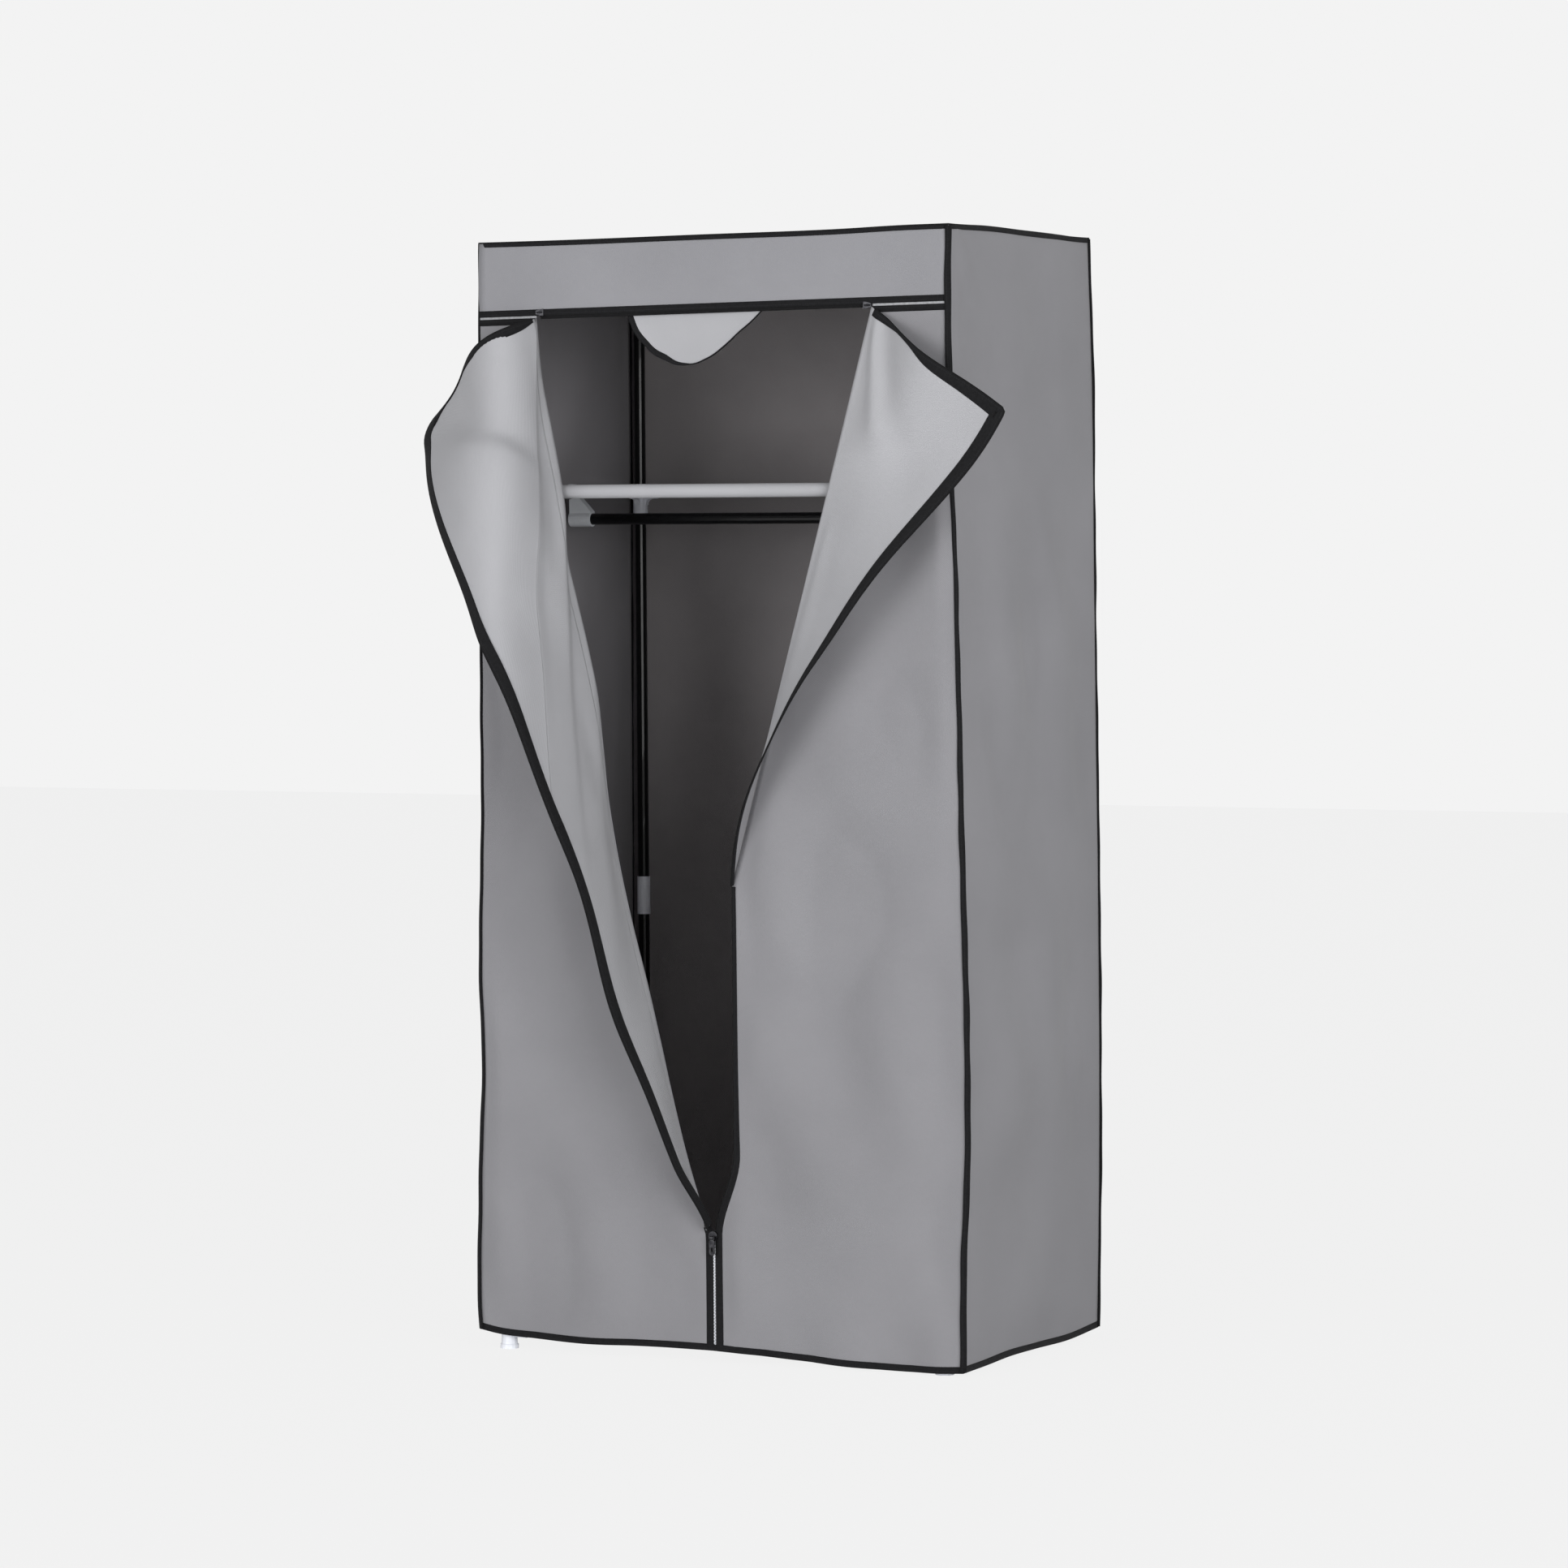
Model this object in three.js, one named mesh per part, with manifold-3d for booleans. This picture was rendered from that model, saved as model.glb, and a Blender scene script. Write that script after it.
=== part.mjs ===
// Portable fabric wardrobe: a steel tube frame in moulded connectors, under a zipped cloth cover.
// Millimetres, +Z up, +X to the right of someone who faces the doors, -Y towards that person.

import * as THREE from "three";
import { mergeVertices } from "three/addons/utils/BufferGeometryUtils.js";
import Module from "manifold-3d";

const wasm = await Module();
wasm.setup();

// Driving sizes of the whole wardrobe
const height = 1550;
const coverTopWidth = 715;
const coverDepth = 456;
const topLean = 8;
const bellyGain = 13;
const bellyHeight = 400;
const hemGain = 11;
const clothThickness = 1.2;
const sideCrown = 5;
const seatGap = 0.3;
const cutOverrun = 5;

// Frame
const sideEase = 22.5;
const frontEase = 17;
const frameWidth = coverTopWidth - 2 * sideEase;
const frameDepth = coverDepth - 2 * frontEase;
const tubeRadius = 8;
const tubeWall = 0.8;
const tubeFacets = 16;
const socketWall = 2.4;
const socketFloor = 9;
const armLength = 28;
const filletRadius = 9;
const filletThickness = 9;
const footTubeHeight = 26;
const footRadius = 13;
const footFlare = 1.5;
const footBaseHeight = 7;
const uprightArmLength = 34;
const joinHeight = 610;
const sleeveLength = 55;
const sleeveStop = 4;
const shelfDrop = 352;
const shelfHeight = height - shelfDrop;
const socketRadius = tubeRadius + seatGap;
const connectorRadius = socketRadius + socketWall;
const pegRadius = tubeRadius - tubeWall - seatGap;
const pegChamfer = 1.5;

// Hanging rail and its brackets
const railDrop = 39;
const railHeight = shelfHeight - railDrop;
const railCollarLength = 34;
const railSocketFloor = 8;
const bracketThickness = 13;
const hookWall = 2.6;
const hookSweep = 1.25 * Math.PI;
const hookStart = -0.12 * Math.PI;
const webBack = 2;
const webTopInset = 8;

// Shelf cloth
const sleeveCloth = 1.2;
const shelfEndGap = 2;

// Doorway: header, zip and the lines about which the doors fold
const headerDepth = 99;
const topZipSlot = 10;
const headerBottom = height - headerDepth;
const doorTop = headerBottom - topZipSlot;
const zipSlot = 5.2;
const zipX = -4;
const zipBow = 29;
const zipBowLowHeight = 290;
const zipBowHighHeight = 600;
const sliderRestHeight = 175;
const leftFoldTopX = -268;
const leftFoldLowX = -20;
const leftFoldLowHeight = 205;
const leftFlapEndHeight = 184;
const rightFoldTopX = 245;
const rightFoldLowHeight = 655;
const foldBeadRadius = 3;
const foldBeadFacets = 10;
const foldForward = 2.4;
const foldGap = 0.4;
const cornerRound = 16;
const narrowEnd = 6;

// How far each door is folded back at rest, and where along its fold the turn is complete
const leftDoorAngle = 1.94;
const leftTurnFull = 440;
const leftTurnNone = 3180;
const cornerAngle = 1.5;
const creaseSlant = 0.299;
const creaseRise = 45;
const creaseGap = 1;
const rightDoorAngle = 2.88;
const rightTurnFull = 235;
const rightTurnNone = 1433;

// Zip slider, its pull tab and the two sliders of the top zips
const sliderWidth = 13;
const sliderLength = 14;
const sliderPlate = 1.6;
const sliderNeckWidth = 3.8;
const sliderNeckLength = 9;
const sliderBackGap = 0.3;
const sliderFrontGap = 0.5;
const lugThickness = 1.2;
const lugReach = 4.2;
const lugLength = 4.6;
const lugSpan = 8.6;
const pinRadius = 1.1;
const pinFacets = 12;
const tabLength = 24;
const tabWidth = 8.4;
const tabThickness = 1.4;
const tabHoleWidth = 3;
const tabHoleLength = 7;
const tabHoleInset = 4.2;
const knuckleWall = 1.1;
const topSliderLength = 12;
const topSliderDepth = 6;
const topSliderLoopRadius = 3.2;
const topSliderLoopWall = 1.1;

// Cloth tab that hangs behind the header
const tabCentreX = -18;
const headerTabHalfWidth = 107;
const headerTabHang = 78;
const headerTabRise = 27;
const headerTabLow = headerBottom - headerTabHang;
const headerTabSewn = headerBottom + headerTabRise;
const headerTabBack = 3.4;

// Heights of the hem above the floor, at shares of the width of the front
const hemShares = [0, 0.03, 0.12, 0.22, 0.36, 0.5, 0.66, 0.83, 0.91, 1];
const hemHeights = [26, 23, 18, 15.6, 16.6, 16.4, 9.8, 3.3, 3, 4.9];
const rearHemHeight = 12;

// Colours, as linear finish values of each material
const clothGrey = { color: 0x8f9096, roughness: 0.85, metalness: 0 };
const liningGrey = { color: 0xaeb0b5, roughness: 0.85, metalness: 0 };
const tubeBlack = { color: 0x0b0b0d, roughness: 0.35, metalness: 0.3 };
const mouldedGrey = { color: 0x6c6e7a, roughness: 0.5, metalness: 0 };
const zipDark = { color: 0x1d1d20, roughness: 0.4, metalness: 0.5 };
const zipLight = { color: 0xb4b6bb, roughness: 0.6, metalness: 0 };

const fromAxis = {
  x: new THREE.Matrix4().makeRotationZ(-Math.PI / 2),
  y: new THREE.Matrix4(),
  z: new THREE.Matrix4().makeRotationX(Math.PI / 2),
};
const unit = {
  x: new THREE.Vector3(1, 0, 0),
  y: new THREE.Vector3(0, 1, 0),
  z: new THREE.Vector3(0, 0, 1),
};

// Closed geometry to a solid that can be joined or cut, and back
function toSolid(geometry) {
  const bare = geometry.clone();
  bare.deleteAttribute("normal");
  bare.deleteAttribute("uv");
  const merged = mergeVertices(bare);
  const vertProperties = new Float32Array(merged.attributes.position.array);
  const triVerts = new Uint32Array(merged.index.array);
  return new wasm.Manifold(new wasm.Mesh({ numProp: 3, vertProperties, triVerts }));
}

function toGeometry(solid) {
  const mesh = solid.getMesh();
  const geometry = new THREE.BufferGeometry();
  const positions = new Float32Array(mesh.numVert * 3);
  for (let i = 0; i < mesh.numVert; i++) {
    for (let k = 0; k < 3; k++) {
      positions[i * 3 + k] = mesh.vertProperties[i * mesh.numProp + k];
    }
  }
  geometry.setAttribute("position", new THREE.BufferAttribute(positions, 3));
  geometry.setIndex(new THREE.BufferAttribute(new Uint32Array(mesh.triVerts), 1));
  return geometry;
}

function joined(solids) {
  return solids.reduce((whole, next) => whole.add(next));
}

// Cylinder along an axis, from one distance to another, through a centre
function rod(axis, radius, from, to, facets, centre = new THREE.Vector3()) {
  const geometry = new THREE.CylinderGeometry(radius, radius, to - from, facets);
  geometry.translate(0, (from + to) / 2, 0);
  geometry.applyMatrix4(fromAxis[axis]);
  geometry.translate(centre.x, centre.y, centre.z);
  return geometry;
}

// Open steel tube along an axis
function tube(axis, from, to, centre) {
  const bore = tubeRadius - tubeWall;
  const profile = [
    new THREE.Vector2(bore, from),
    new THREE.Vector2(tubeRadius, from),
    new THREE.Vector2(tubeRadius, to),
    new THREE.Vector2(bore, to),
    new THREE.Vector2(bore, from),
  ];
  const geometry = new THREE.LatheGeometry(profile, tubeFacets);
  geometry.applyMatrix4(fromAxis[axis]);
  geometry.translate(centre.x, centre.y, centre.z);
  return geometry;
}

// Web with a concave edge between two arms of a connector
function filletWeb(first, second) {
  const reach = connectorRadius + filletRadius;
  const outline = new THREE.Shape();
  outline.moveTo(0, 0);
  outline.lineTo(reach, 0);
  outline.lineTo(reach, connectorRadius);
  outline.absarc(reach, reach, filletRadius, -Math.PI / 2, -Math.PI, true);
  outline.lineTo(0, reach);
  outline.closePath();
  const options = { depth: filletThickness, bevelEnabled: false, curveSegments: 5 };
  const geometry = new THREE.ExtrudeGeometry(outline, options);
  geometry.translate(0, 0, -filletThickness / 2);
  const third = new THREE.Vector3().crossVectors(first, second);
  geometry.applyMatrix4(new THREE.Matrix4().makeBasis(first, second, third));
  return geometry;
}

// Moulded connector: arms of { axis, sign, length } with a blind socket in each, and webs between them
function connector(arms, webs, base = null) {
  const bodies = arms.map(({ axis, sign, length }) => {
    const ends = [0, sign * length].sort((a, b) => a - b);
    return toSolid(rod(axis, connectorRadius, ends[0], ends[1], tubeFacets));
  });
  bodies.push(toSolid(new THREE.SphereGeometry(connectorRadius, tubeFacets, tubeFacets / 2)));
  for (const [first, second] of webs) {
    bodies.push(toSolid(filletWeb(first, second)));
  }
  if (base) {
    bodies.push(toSolid(base));
  }
  const sockets = arms.map(({ axis, sign, length }) => {
    const ends = [sign * socketFloor, sign * (length + cutOverrun)].sort((a, b) => a - b);
    return toSolid(rod(axis, socketRadius, ends[0], ends[1], tubeFacets));
  });
  return toGeometry(joined(bodies).subtract(joined(sockets)));
}

// Foot below a corner connector: a flared pad with a flat face on the floor
function footPad() {
  const profile = [
    new THREE.Vector2(0, -footTubeHeight),
    new THREE.Vector2(footRadius, -footTubeHeight),
    new THREE.Vector2(footRadius, footBaseHeight - footTubeHeight - footFlare),
    new THREE.Vector2(footRadius - footFlare, footBaseHeight - footTubeHeight),
    new THREE.Vector2(connectorRadius, 0),
    new THREE.Vector2(0, 0),
  ];
  const geometry = new THREE.LatheGeometry(profile, tubeFacets);
  geometry.applyMatrix4(fromAxis.z);
  return geometry;
}

// Shoulder and peg on top of a shelf connector: the upright above stands on one and round the other
function shoulderPeg() {
  const profile = [
    new THREE.Vector2(0, 0),
    new THREE.Vector2(connectorRadius, 0),
    new THREE.Vector2(connectorRadius, connectorRadius),
    new THREE.Vector2(pegRadius, connectorRadius),
    new THREE.Vector2(pegRadius, uprightArmLength - pegChamfer),
    new THREE.Vector2(pegRadius - pegChamfer, uprightArmLength),
    new THREE.Vector2(0, uprightArmLength),
  ];
  const geometry = new THREE.LatheGeometry(profile, tubeFacets);
  geometry.applyMatrix4(fromAxis.z);
  return geometry;
}

const corners = [
  { name: "front_left", x: -1, y: -1 },
  { name: "front_right", x: 1, y: -1 },
  { name: "rear_left", x: -1, y: 1 },
  { name: "rear_right", x: 1, y: 1 },
];

const assembly = new THREE.Group();

function addPart(name, geometry, finish, position = new THREE.Vector3()) {
  const mesh = new THREE.Mesh(geometry, new THREE.MeshStandardMaterial(finish));
  mesh.name = name;
  mesh.position.copy(position);
  assembly.add(mesh);
  return mesh;
}

const topTubeHeight = height - topLean - clothThickness - seatGap - connectorRadius;
const tubeStart = socketFloor + seatGap;

// Corner connectors, with their webs in the planes of the arms
function addConnectors(corner) {
  const inX = -corner.x;
  const inY = -corner.y;
  const sideways = unit.x.clone().multiplyScalar(inX);
  const backwards = unit.y.clone().multiplyScalar(inY);
  const up = unit.z;
  const down = unit.z.clone().negate();
  const place = (z) => new THREE.Vector3((corner.x * frameWidth) / 2, (corner.y * frameDepth) / 2, z);
  const across = { axis: "x", sign: inX, length: armLength };
  const along = { axis: "y", sign: inY, length: armLength };
  const rising = { axis: "z", sign: 1, length: uprightArmLength };
  const falling = { axis: "z", sign: -1, length: uprightArmLength };
  const foot = connector([across, along, rising], [[sideways, up], [backwards, up]], footPad());
  addPart(`foot_connector_${corner.name}`, foot, mouldedGrey, place(footTubeHeight));
  const middleWebs = [[sideways, down], [backwards, down]];
  const middle = connector([across, along, falling], middleWebs, shoulderPeg());
  addPart(`shelf_connector_${corner.name}`, middle, mouldedGrey, place(shelfHeight));
  const top = connector([across, along, falling], [[sideways, down], [backwards, down]]);
  addPart(`top_connector_${corner.name}`, top, mouldedGrey, place(topTubeHeight));
}

// Uprights in three lengths, with a sleeve that joins the lower two
function addUprights(corner) {
  const centre = new THREE.Vector3((corner.x * frameWidth) / 2, (corner.y * frameDepth) / 2, 0);
  const joinLow = joinHeight - sleeveStop / 2 - seatGap;
  const joinHigh = joinHeight + sleeveStop / 2 + seatGap;
  const lower = tube("z", footTubeHeight + tubeStart, joinLow, centre);
  addPart(`lower_upright_${corner.name}`, lower, tubeBlack);
  const middle = tube("z", joinHigh, shelfHeight - tubeStart, centre);
  addPart(`middle_upright_${corner.name}`, middle, tubeBlack);
  const upper = tube("z", shelfHeight + connectorRadius + seatGap, topTubeHeight - tubeStart, centre);
  addPart(`upper_upright_${corner.name}`, upper, tubeBlack);
  const half = sleeveLength / 2;
  const body = toSolid(rod("z", connectorRadius - socketWall / 2, -half, half, tubeFacets));
  const stop = sleeveStop / 2;
  const lowBore = toSolid(rod("z", socketRadius, -half - cutOverrun, -stop, tubeFacets));
  const highBore = toSolid(rod("z", socketRadius, stop, half + cutOverrun, tubeFacets));
  const sleeve = toGeometry(body.subtract(lowBore).subtract(highBore));
  centre.z = joinHeight;
  addPart(`joining_sleeve_${corner.name}`, sleeve, mouldedGrey, centre);
}

// Four horizontal tubes at one level
function addLevel(level, z) {
  const halfWidth = frameWidth / 2 - tubeStart;
  const halfDepth = frameDepth / 2 - tubeStart;
  for (const [name, sign] of [["front", -1], ["rear", 1]]) {
    const centre = new THREE.Vector3(0, (sign * frameDepth) / 2, z);
    addPart(`${level}_tube_${name}`, tube("x", -halfWidth, halfWidth, centre), tubeBlack);
  }
  for (const [name, sign] of [["left", -1], ["right", 1]]) {
    const centre = new THREE.Vector3((sign * frameWidth) / 2, 0, z);
    addPart(`${level}_tube_${name}`, tube("y", -halfDepth, halfDepth, centre), tubeBlack);
  }
}

// Bracket that hooks over the side tube of the shelf and holds one end of the hanging rail
function railBracket(inward) {
  const drop = railHeight - shelfHeight;
  const hookOuter = socketRadius + hookWall;
  const hook = new THREE.Shape();
  hook.absarc(0, 0, hookOuter, hookStart, hookStart + hookSweep, false);
  hook.absarc(0, 0, socketRadius, hookStart + hookSweep, hookStart, true);
  hook.closePath();
  const web = new THREE.Shape();
  web.moveTo(-webBack, drop);
  web.lineTo(railCollarLength - webBack, drop);
  web.lineTo(railCollarLength - webBack, drop + connectorRadius);
  web.lineTo(hookOuter - seatGap, -webTopInset + hookWall);
  web.lineTo(socketRadius + seatGap, -seatGap);
  web.lineTo(socketRadius + seatGap, -webTopInset);
  web.lineTo(-webBack, -hookOuter);
  web.closePath();
  const options = { depth: bracketThickness, bevelEnabled: false, curveSegments: 12 };
  const solids = [hook, web].map((outline) => {
    const geometry = new THREE.ExtrudeGeometry(outline, options);
    geometry.translate(0, 0, -bracketThickness / 2);
    return toSolid(geometry);
  });
  // The outline's first axis runs inwards and its second one up, so its third is set by those two.
  const first = unit.x.clone().multiplyScalar(inward);
  const third = new THREE.Vector3().crossVectors(first, unit.z);
  const basis = new THREE.Matrix4().makeBasis(first, unit.z, third);
  const centre = new THREE.Vector3(0, 0, drop);
  const ends = [-webBack * inward, (railCollarLength - webBack) * inward].sort((a, b) => a - b);
  const collar = toSolid(rod("x", connectorRadius, ends[0], ends[1], tubeFacets, centre));
  const boreEnd = railCollarLength + cutOverrun;
  const boreEnds = [railSocketFloor * inward, boreEnd * inward].sort((a, b) => a - b);
  const bore = toSolid(rod("x", socketRadius, boreEnds[0], boreEnds[1], tubeFacets, centre));
  const sideTube = toSolid(rod("y", socketRadius, -bracketThickness, bracketThickness, tubeFacets));
  const turned = joined(solids).transform(basis.elements);
  return toGeometry(turned.add(collar).subtract(bore).subtract(sideTube));
}

function addRail() {
  const reach = frameWidth / 2 - railSocketFloor - seatGap;
  const centre = new THREE.Vector3(0, 0, railHeight);
  addPart("hanging_rail", tube("x", -reach, reach, centre), tubeBlack);
  for (const [name, side] of [["left", -1], ["right", 1]]) {
    const place = new THREE.Vector3((side * frameWidth) / 2, 0, shelfHeight);
    addPart(`rail_bracket_${name}`, railBracket(-side), mouldedGrey, place);
  }
}

// Shelf cloth: one sheet with a sewn sleeve round the front tube and one round the rear tube
function addShelf() {
  const outer = socketRadius + sleeveCloth;
  const front = -frameDepth / 2;
  const rear = frameDepth / 2;
  const outline = new THREE.Shape();
  outline.moveTo(rear, outer);
  outline.lineTo(front, outer);
  // Each sleeve meets the underside of the sheet, which lies on top of the tubes.
  const underside = Math.asin(socketRadius / outer);
  outline.absarc(front, 0, outer, Math.PI / 2, 2 * Math.PI + underside, false);
  outline.absarc(rear, 0, outer, Math.PI - underside, 2 * Math.PI + Math.PI / 2, false);
  outline.closePath();
  for (const y of [front, rear]) {
    const hole = new THREE.Path();
    hole.absarc(y, 0, socketRadius, 0, 2 * Math.PI, true);
    outline.holes.push(hole);
  }
  const length = frameWidth - 2 * (armLength + shelfEndGap);
  const options = { depth: length, bevelEnabled: false, curveSegments: 10 };
  const geometry = new THREE.ExtrudeGeometry(outline, options);
  geometry.translate(0, 0, -length / 2);
  geometry.applyMatrix4(new THREE.Matrix4().makeBasis(unit.y, unit.z, unit.x));
  addPart("shelf_cloth", geometry, liningGrey, new THREE.Vector3(0, 0, shelfHeight));
}

// Smooth step from 0 to 1
function eased(value) {
  const t = THREE.MathUtils.clamp(value, 0, 1);
  return t * t * (3 - 2 * t);
}

// Half the width of the cover at a height: it hangs wider towards its belly
function coverHalfWidth(z) {
  const top = coverTopWidth / 2;
  if (z > bellyHeight) {
    return top + bellyGain * eased((height - z) / (height - bellyHeight));
  }
  return top + THREE.MathUtils.lerp(hemGain, bellyGain, z / bellyHeight);
}

function frontHem(x) {
  const share = x / (2 * coverHalfWidth(0)) + 1 / 2;
  let i = 0;
  while (i < hemShares.length - 2 && share > hemShares[i + 1]) {
    i++;
  }
  const t = (share - hemShares[i]) / (hemShares[i + 1] - hemShares[i]);
  return THREE.MathUtils.lerp(hemHeights[i], hemHeights[i + 1], THREE.MathUtils.clamp(t, 0, 1));
}

// Closed sheet of cloth about a surface, which is given as a point for each pair of shares
function clothSheet(pointAt, columns, rows, thickness = clothThickness) {
  const positions = [];
  const step = 1 / 1000;
  for (const side of [1, -1]) {
    for (let j = 0; j <= rows; j++) {
      for (let i = 0; i <= columns; i++) {
        const u = i / columns;
        const v = j / rows;
        const across = pointAt(Math.min(u + step, 1), v).sub(pointAt(Math.max(u - step, 0), v));
        const down = pointAt(u, Math.min(v + step, 1)).sub(pointAt(u, Math.max(v - step, 0)));
        const normal = across.cross(down).normalize();
        const point = pointAt(u, v).addScaledVector(normal, (side * thickness) / 2);
        positions.push(point.x, point.y, point.z);
      }
    }
  }
  const width = columns + 1;
  const back = width * (rows + 1);
  const at = (i, j) => j * width + i;
  const faces = [];
  for (let j = 0; j < rows; j++) {
    for (let i = 0; i < columns; i++) {
      const [a, b, c, d] = [at(i, j), at(i + 1, j), at(i + 1, j + 1), at(i, j + 1)];
      faces.push(a, b, c, a, c, d);
      faces.push(back + a, back + c, back + b, back + a, back + d, back + c);
    }
  }
  const rim = (p, q) => faces.push(q, p, back + p, q, back + p, back + q);
  for (let i = 0; i < columns; i++) {
    rim(at(i, 0), at(i + 1, 0));
    rim(at(i + 1, rows), at(i, rows));
  }
  for (let j = 0; j < rows; j++) {
    rim(at(columns, j), at(columns, j + 1));
    rim(at(0, j + 1), at(0, j));
  }
  const geometry = new THREE.BufferGeometry();
  geometry.setAttribute("position", new THREE.Float32BufferAttribute(positions, 3));
  geometry.setIndex(faces);
  return geometry;
}

// Flat cloth in the plane of the front: its outline is in X and Z, its outer face at the given Y
function frontCloth(points, outerY, thickness = clothThickness) {
  const outline = new THREE.Shape(points.map(([x, z]) => new THREE.Vector2(x, z)));
  const geometry = new THREE.ExtrudeGeometry(outline, { depth: thickness, bevelEnabled: false });
  geometry.applyMatrix4(fromAxis.z);
  geometry.translate(0, outerY + thickness, 0);
  return geometry;
}

const frontY = -coverDepth / 2;

// The top of the cover sags towards its left end, where it lies on the frame
function topSag(x) {
  return topLean * (1 / 2 - x / coverTopWidth);
}

function wallTop(x) {
  return height - clothThickness - seatGap - topSag(x);
}

const sideRows = 14;
const sideColumns = 4;

// Side and back walls and the top of the cover
function addCoverShell() {
  const sideReach = coverDepth / 2 - clothThickness - seatGap;
  for (const [name, side] of [["left", -1], ["right", 1]]) {
    const hemFront = side < 0 ? hemHeights[0] : hemHeights[hemHeights.length - 1];
    const wall = (u, v) => {
      const y = THREE.MathUtils.lerp(-sideReach, sideReach, side < 0 ? 1 - u : u);
      const hem = THREE.MathUtils.lerp(hemFront, rearHemHeight, side < 0 ? 1 - u : u);
      const z = THREE.MathUtils.lerp(hem, wallTop((side * coverTopWidth) / 2), v);
      const crown = sideCrown * Math.sin(Math.PI * u) * Math.sin(Math.PI * v);
      return new THREE.Vector3(side * (coverHalfWidth(z) - clothThickness / 2 + crown), y, z);
    };
    addPart(`cover_${name}_side`, clothSheet(wall, sideColumns, sideRows), clothGrey);
  }
  const back = (u, v) => {
    const z = THREE.MathUtils.lerp(rearHemHeight, wallTop(coverTopWidth * (1 / 2 - u)), v);
    const x = coverHalfWidth(z) * (1 - 2 * u);
    return new THREE.Vector3(x, coverDepth / 2 - clothThickness / 2, z);
  };
  addPart("cover_back", clothSheet(back, sideColumns, sideRows), clothGrey);
  const top = (u, v) => {
    const x = coverTopWidth * (u - 1 / 2);
    return new THREE.Vector3(x, coverDepth * (v - 1 / 2), height - clothThickness / 2 - topSag(x));
  };
  addPart("cover_top", clothSheet(top, sideColumns, sideColumns), clothGrey);
  const header = [
    [-coverTopWidth / 2, wallTop(-coverTopWidth / 2)],
    [-coverHalfWidth(headerBottom), headerBottom],
    [coverHalfWidth(headerBottom), headerBottom],
    [coverTopWidth / 2, wallTop(coverTopWidth / 2)],
  ];
  addPart("cover_header", frontCloth(header, frontY), clothGrey);
}

// Where the centre zip runs when it is closed, at a height: it bows to the right below the middle
function zipLine(z) {
  const rise = eased((z - sliderRestHeight) / (zipBowLowHeight - sliderRestHeight));
  const fall = eased((z - zipBowHighHeight) / (doorTop - zipBowHighHeight));
  return zipX + zipBow * rise * (1 - fall);
}

// Fold line of a door: a closed point is given by how far down and how far across the fold it lies
function foldLine(top, low, towardsZip) {
  const up = new THREE.Vector3().subVectors(top, low).normalize();
  const across = new THREE.Vector3(up.z, 0, -up.x).multiplyScalar(towardsZip);
  return { top, low, up, across };
}

const foldY = frontY - foldForward;
const leftFold = foldLine(
  new THREE.Vector3(leftFoldTopX, foldY, doorTop),
  new THREE.Vector3(leftFoldLowX, foldY, leftFoldLowHeight),
  1,
);
const rightFoldLowX = zipLine(rightFoldLowHeight) + zipSlot / 2;
const rightFold = foldLine(
  new THREE.Vector3(rightFoldTopX, foldY, doorTop),
  new THREE.Vector3(rightFoldLowX, foldY, rightFoldLowHeight),
  -1,
);
const forward = new THREE.Vector3(0, -1, 0);

function onFold(fold, x, z) {
  const offset = new THREE.Vector3(x, fold.top.y, z).sub(fold.top);
  return { down: -offset.dot(fold.up), across: offset.dot(fold.across) };
}

// X of a fold line at a height
function foldX(fold, z) {
  return THREE.MathUtils.mapLinear(z, fold.low.z, fold.top.z, fold.low.x, fold.top.x);
}

// Point of an open door: it turns about its fold, less towards the zip's low end
function openPoint(fold, point, angle) {
  const outwards = fold.across.clone().multiplyScalar(Math.cos(angle));
  outwards.addScaledVector(forward, Math.sin(angle));
  return fold.top.clone().addScaledVector(fold.up, -point.down).addScaledVector(outwards, point.across);
}

function leftOpenPoint(point) {
  const turn = eased((leftTurnNone - point.down) / (leftTurnNone - leftTurnFull));
  return openPoint(leftFold, point, leftDoorAngle * turn);
}

function rightOpenPoint(point) {
  const turn = eased((rightTurnNone - point.down) / (rightTurnNone - rightTurnFull));
  return openPoint(rightFold, point, rightDoorAngle * turn);
}

// Place along a chain of points, by share of its length
function alongChain(chain, share) {
  const lengths = [0];
  for (let i = 1; i < chain.length; i++) {
    const run = Math.hypot(chain[i].down - chain[i - 1].down, chain[i].across - chain[i - 1].across);
    lengths.push(lengths[i - 1] + run);
  }
  const wanted = share * lengths[lengths.length - 1];
  let i = 1;
  while (i < chain.length - 1 && lengths[i] < wanted) {
    i++;
  }
  const t = (wanted - lengths[i - 1]) / (lengths[i] - lengths[i - 1]);
  return {
    down: THREE.MathUtils.lerp(chain[i - 1].down, chain[i].down, t),
    across: THREE.MathUtils.lerp(chain[i - 1].across, chain[i].across, t),
  };
}

function between(first, second, share) {
  return {
    down: THREE.MathUtils.lerp(first.down, second.down, share),
    across: THREE.MathUtils.lerp(first.across, second.across, share),
  };
}

const edgeSteps = 24;
const roundSteps = 4;

// Zip edge of a closed door, from its rounded top corner down to a height
function zipEdge(fold, side, lowest) {
  const chain = [];
  const cornerX = zipLine(doorTop - cornerRound) - (side * zipSlot) / 2;
  for (let i = 0; i <= roundSteps; i++) {
    const angle = (Math.PI / 2) * (i / roundSteps);
    const x = cornerX - side * cornerRound * (1 - Math.sin(angle));
    chain.push(onFold(fold, x, doorTop - cornerRound * (1 - Math.cos(angle))));
  }
  for (let i = 1; i <= edgeSteps; i++) {
    const z = THREE.MathUtils.lerp(doorTop - cornerRound, lowest, i / edgeSteps);
    chain.push(onFold(fold, zipLine(z) - (side * zipSlot) / 2, z));
  }
  return chain;
}

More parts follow.
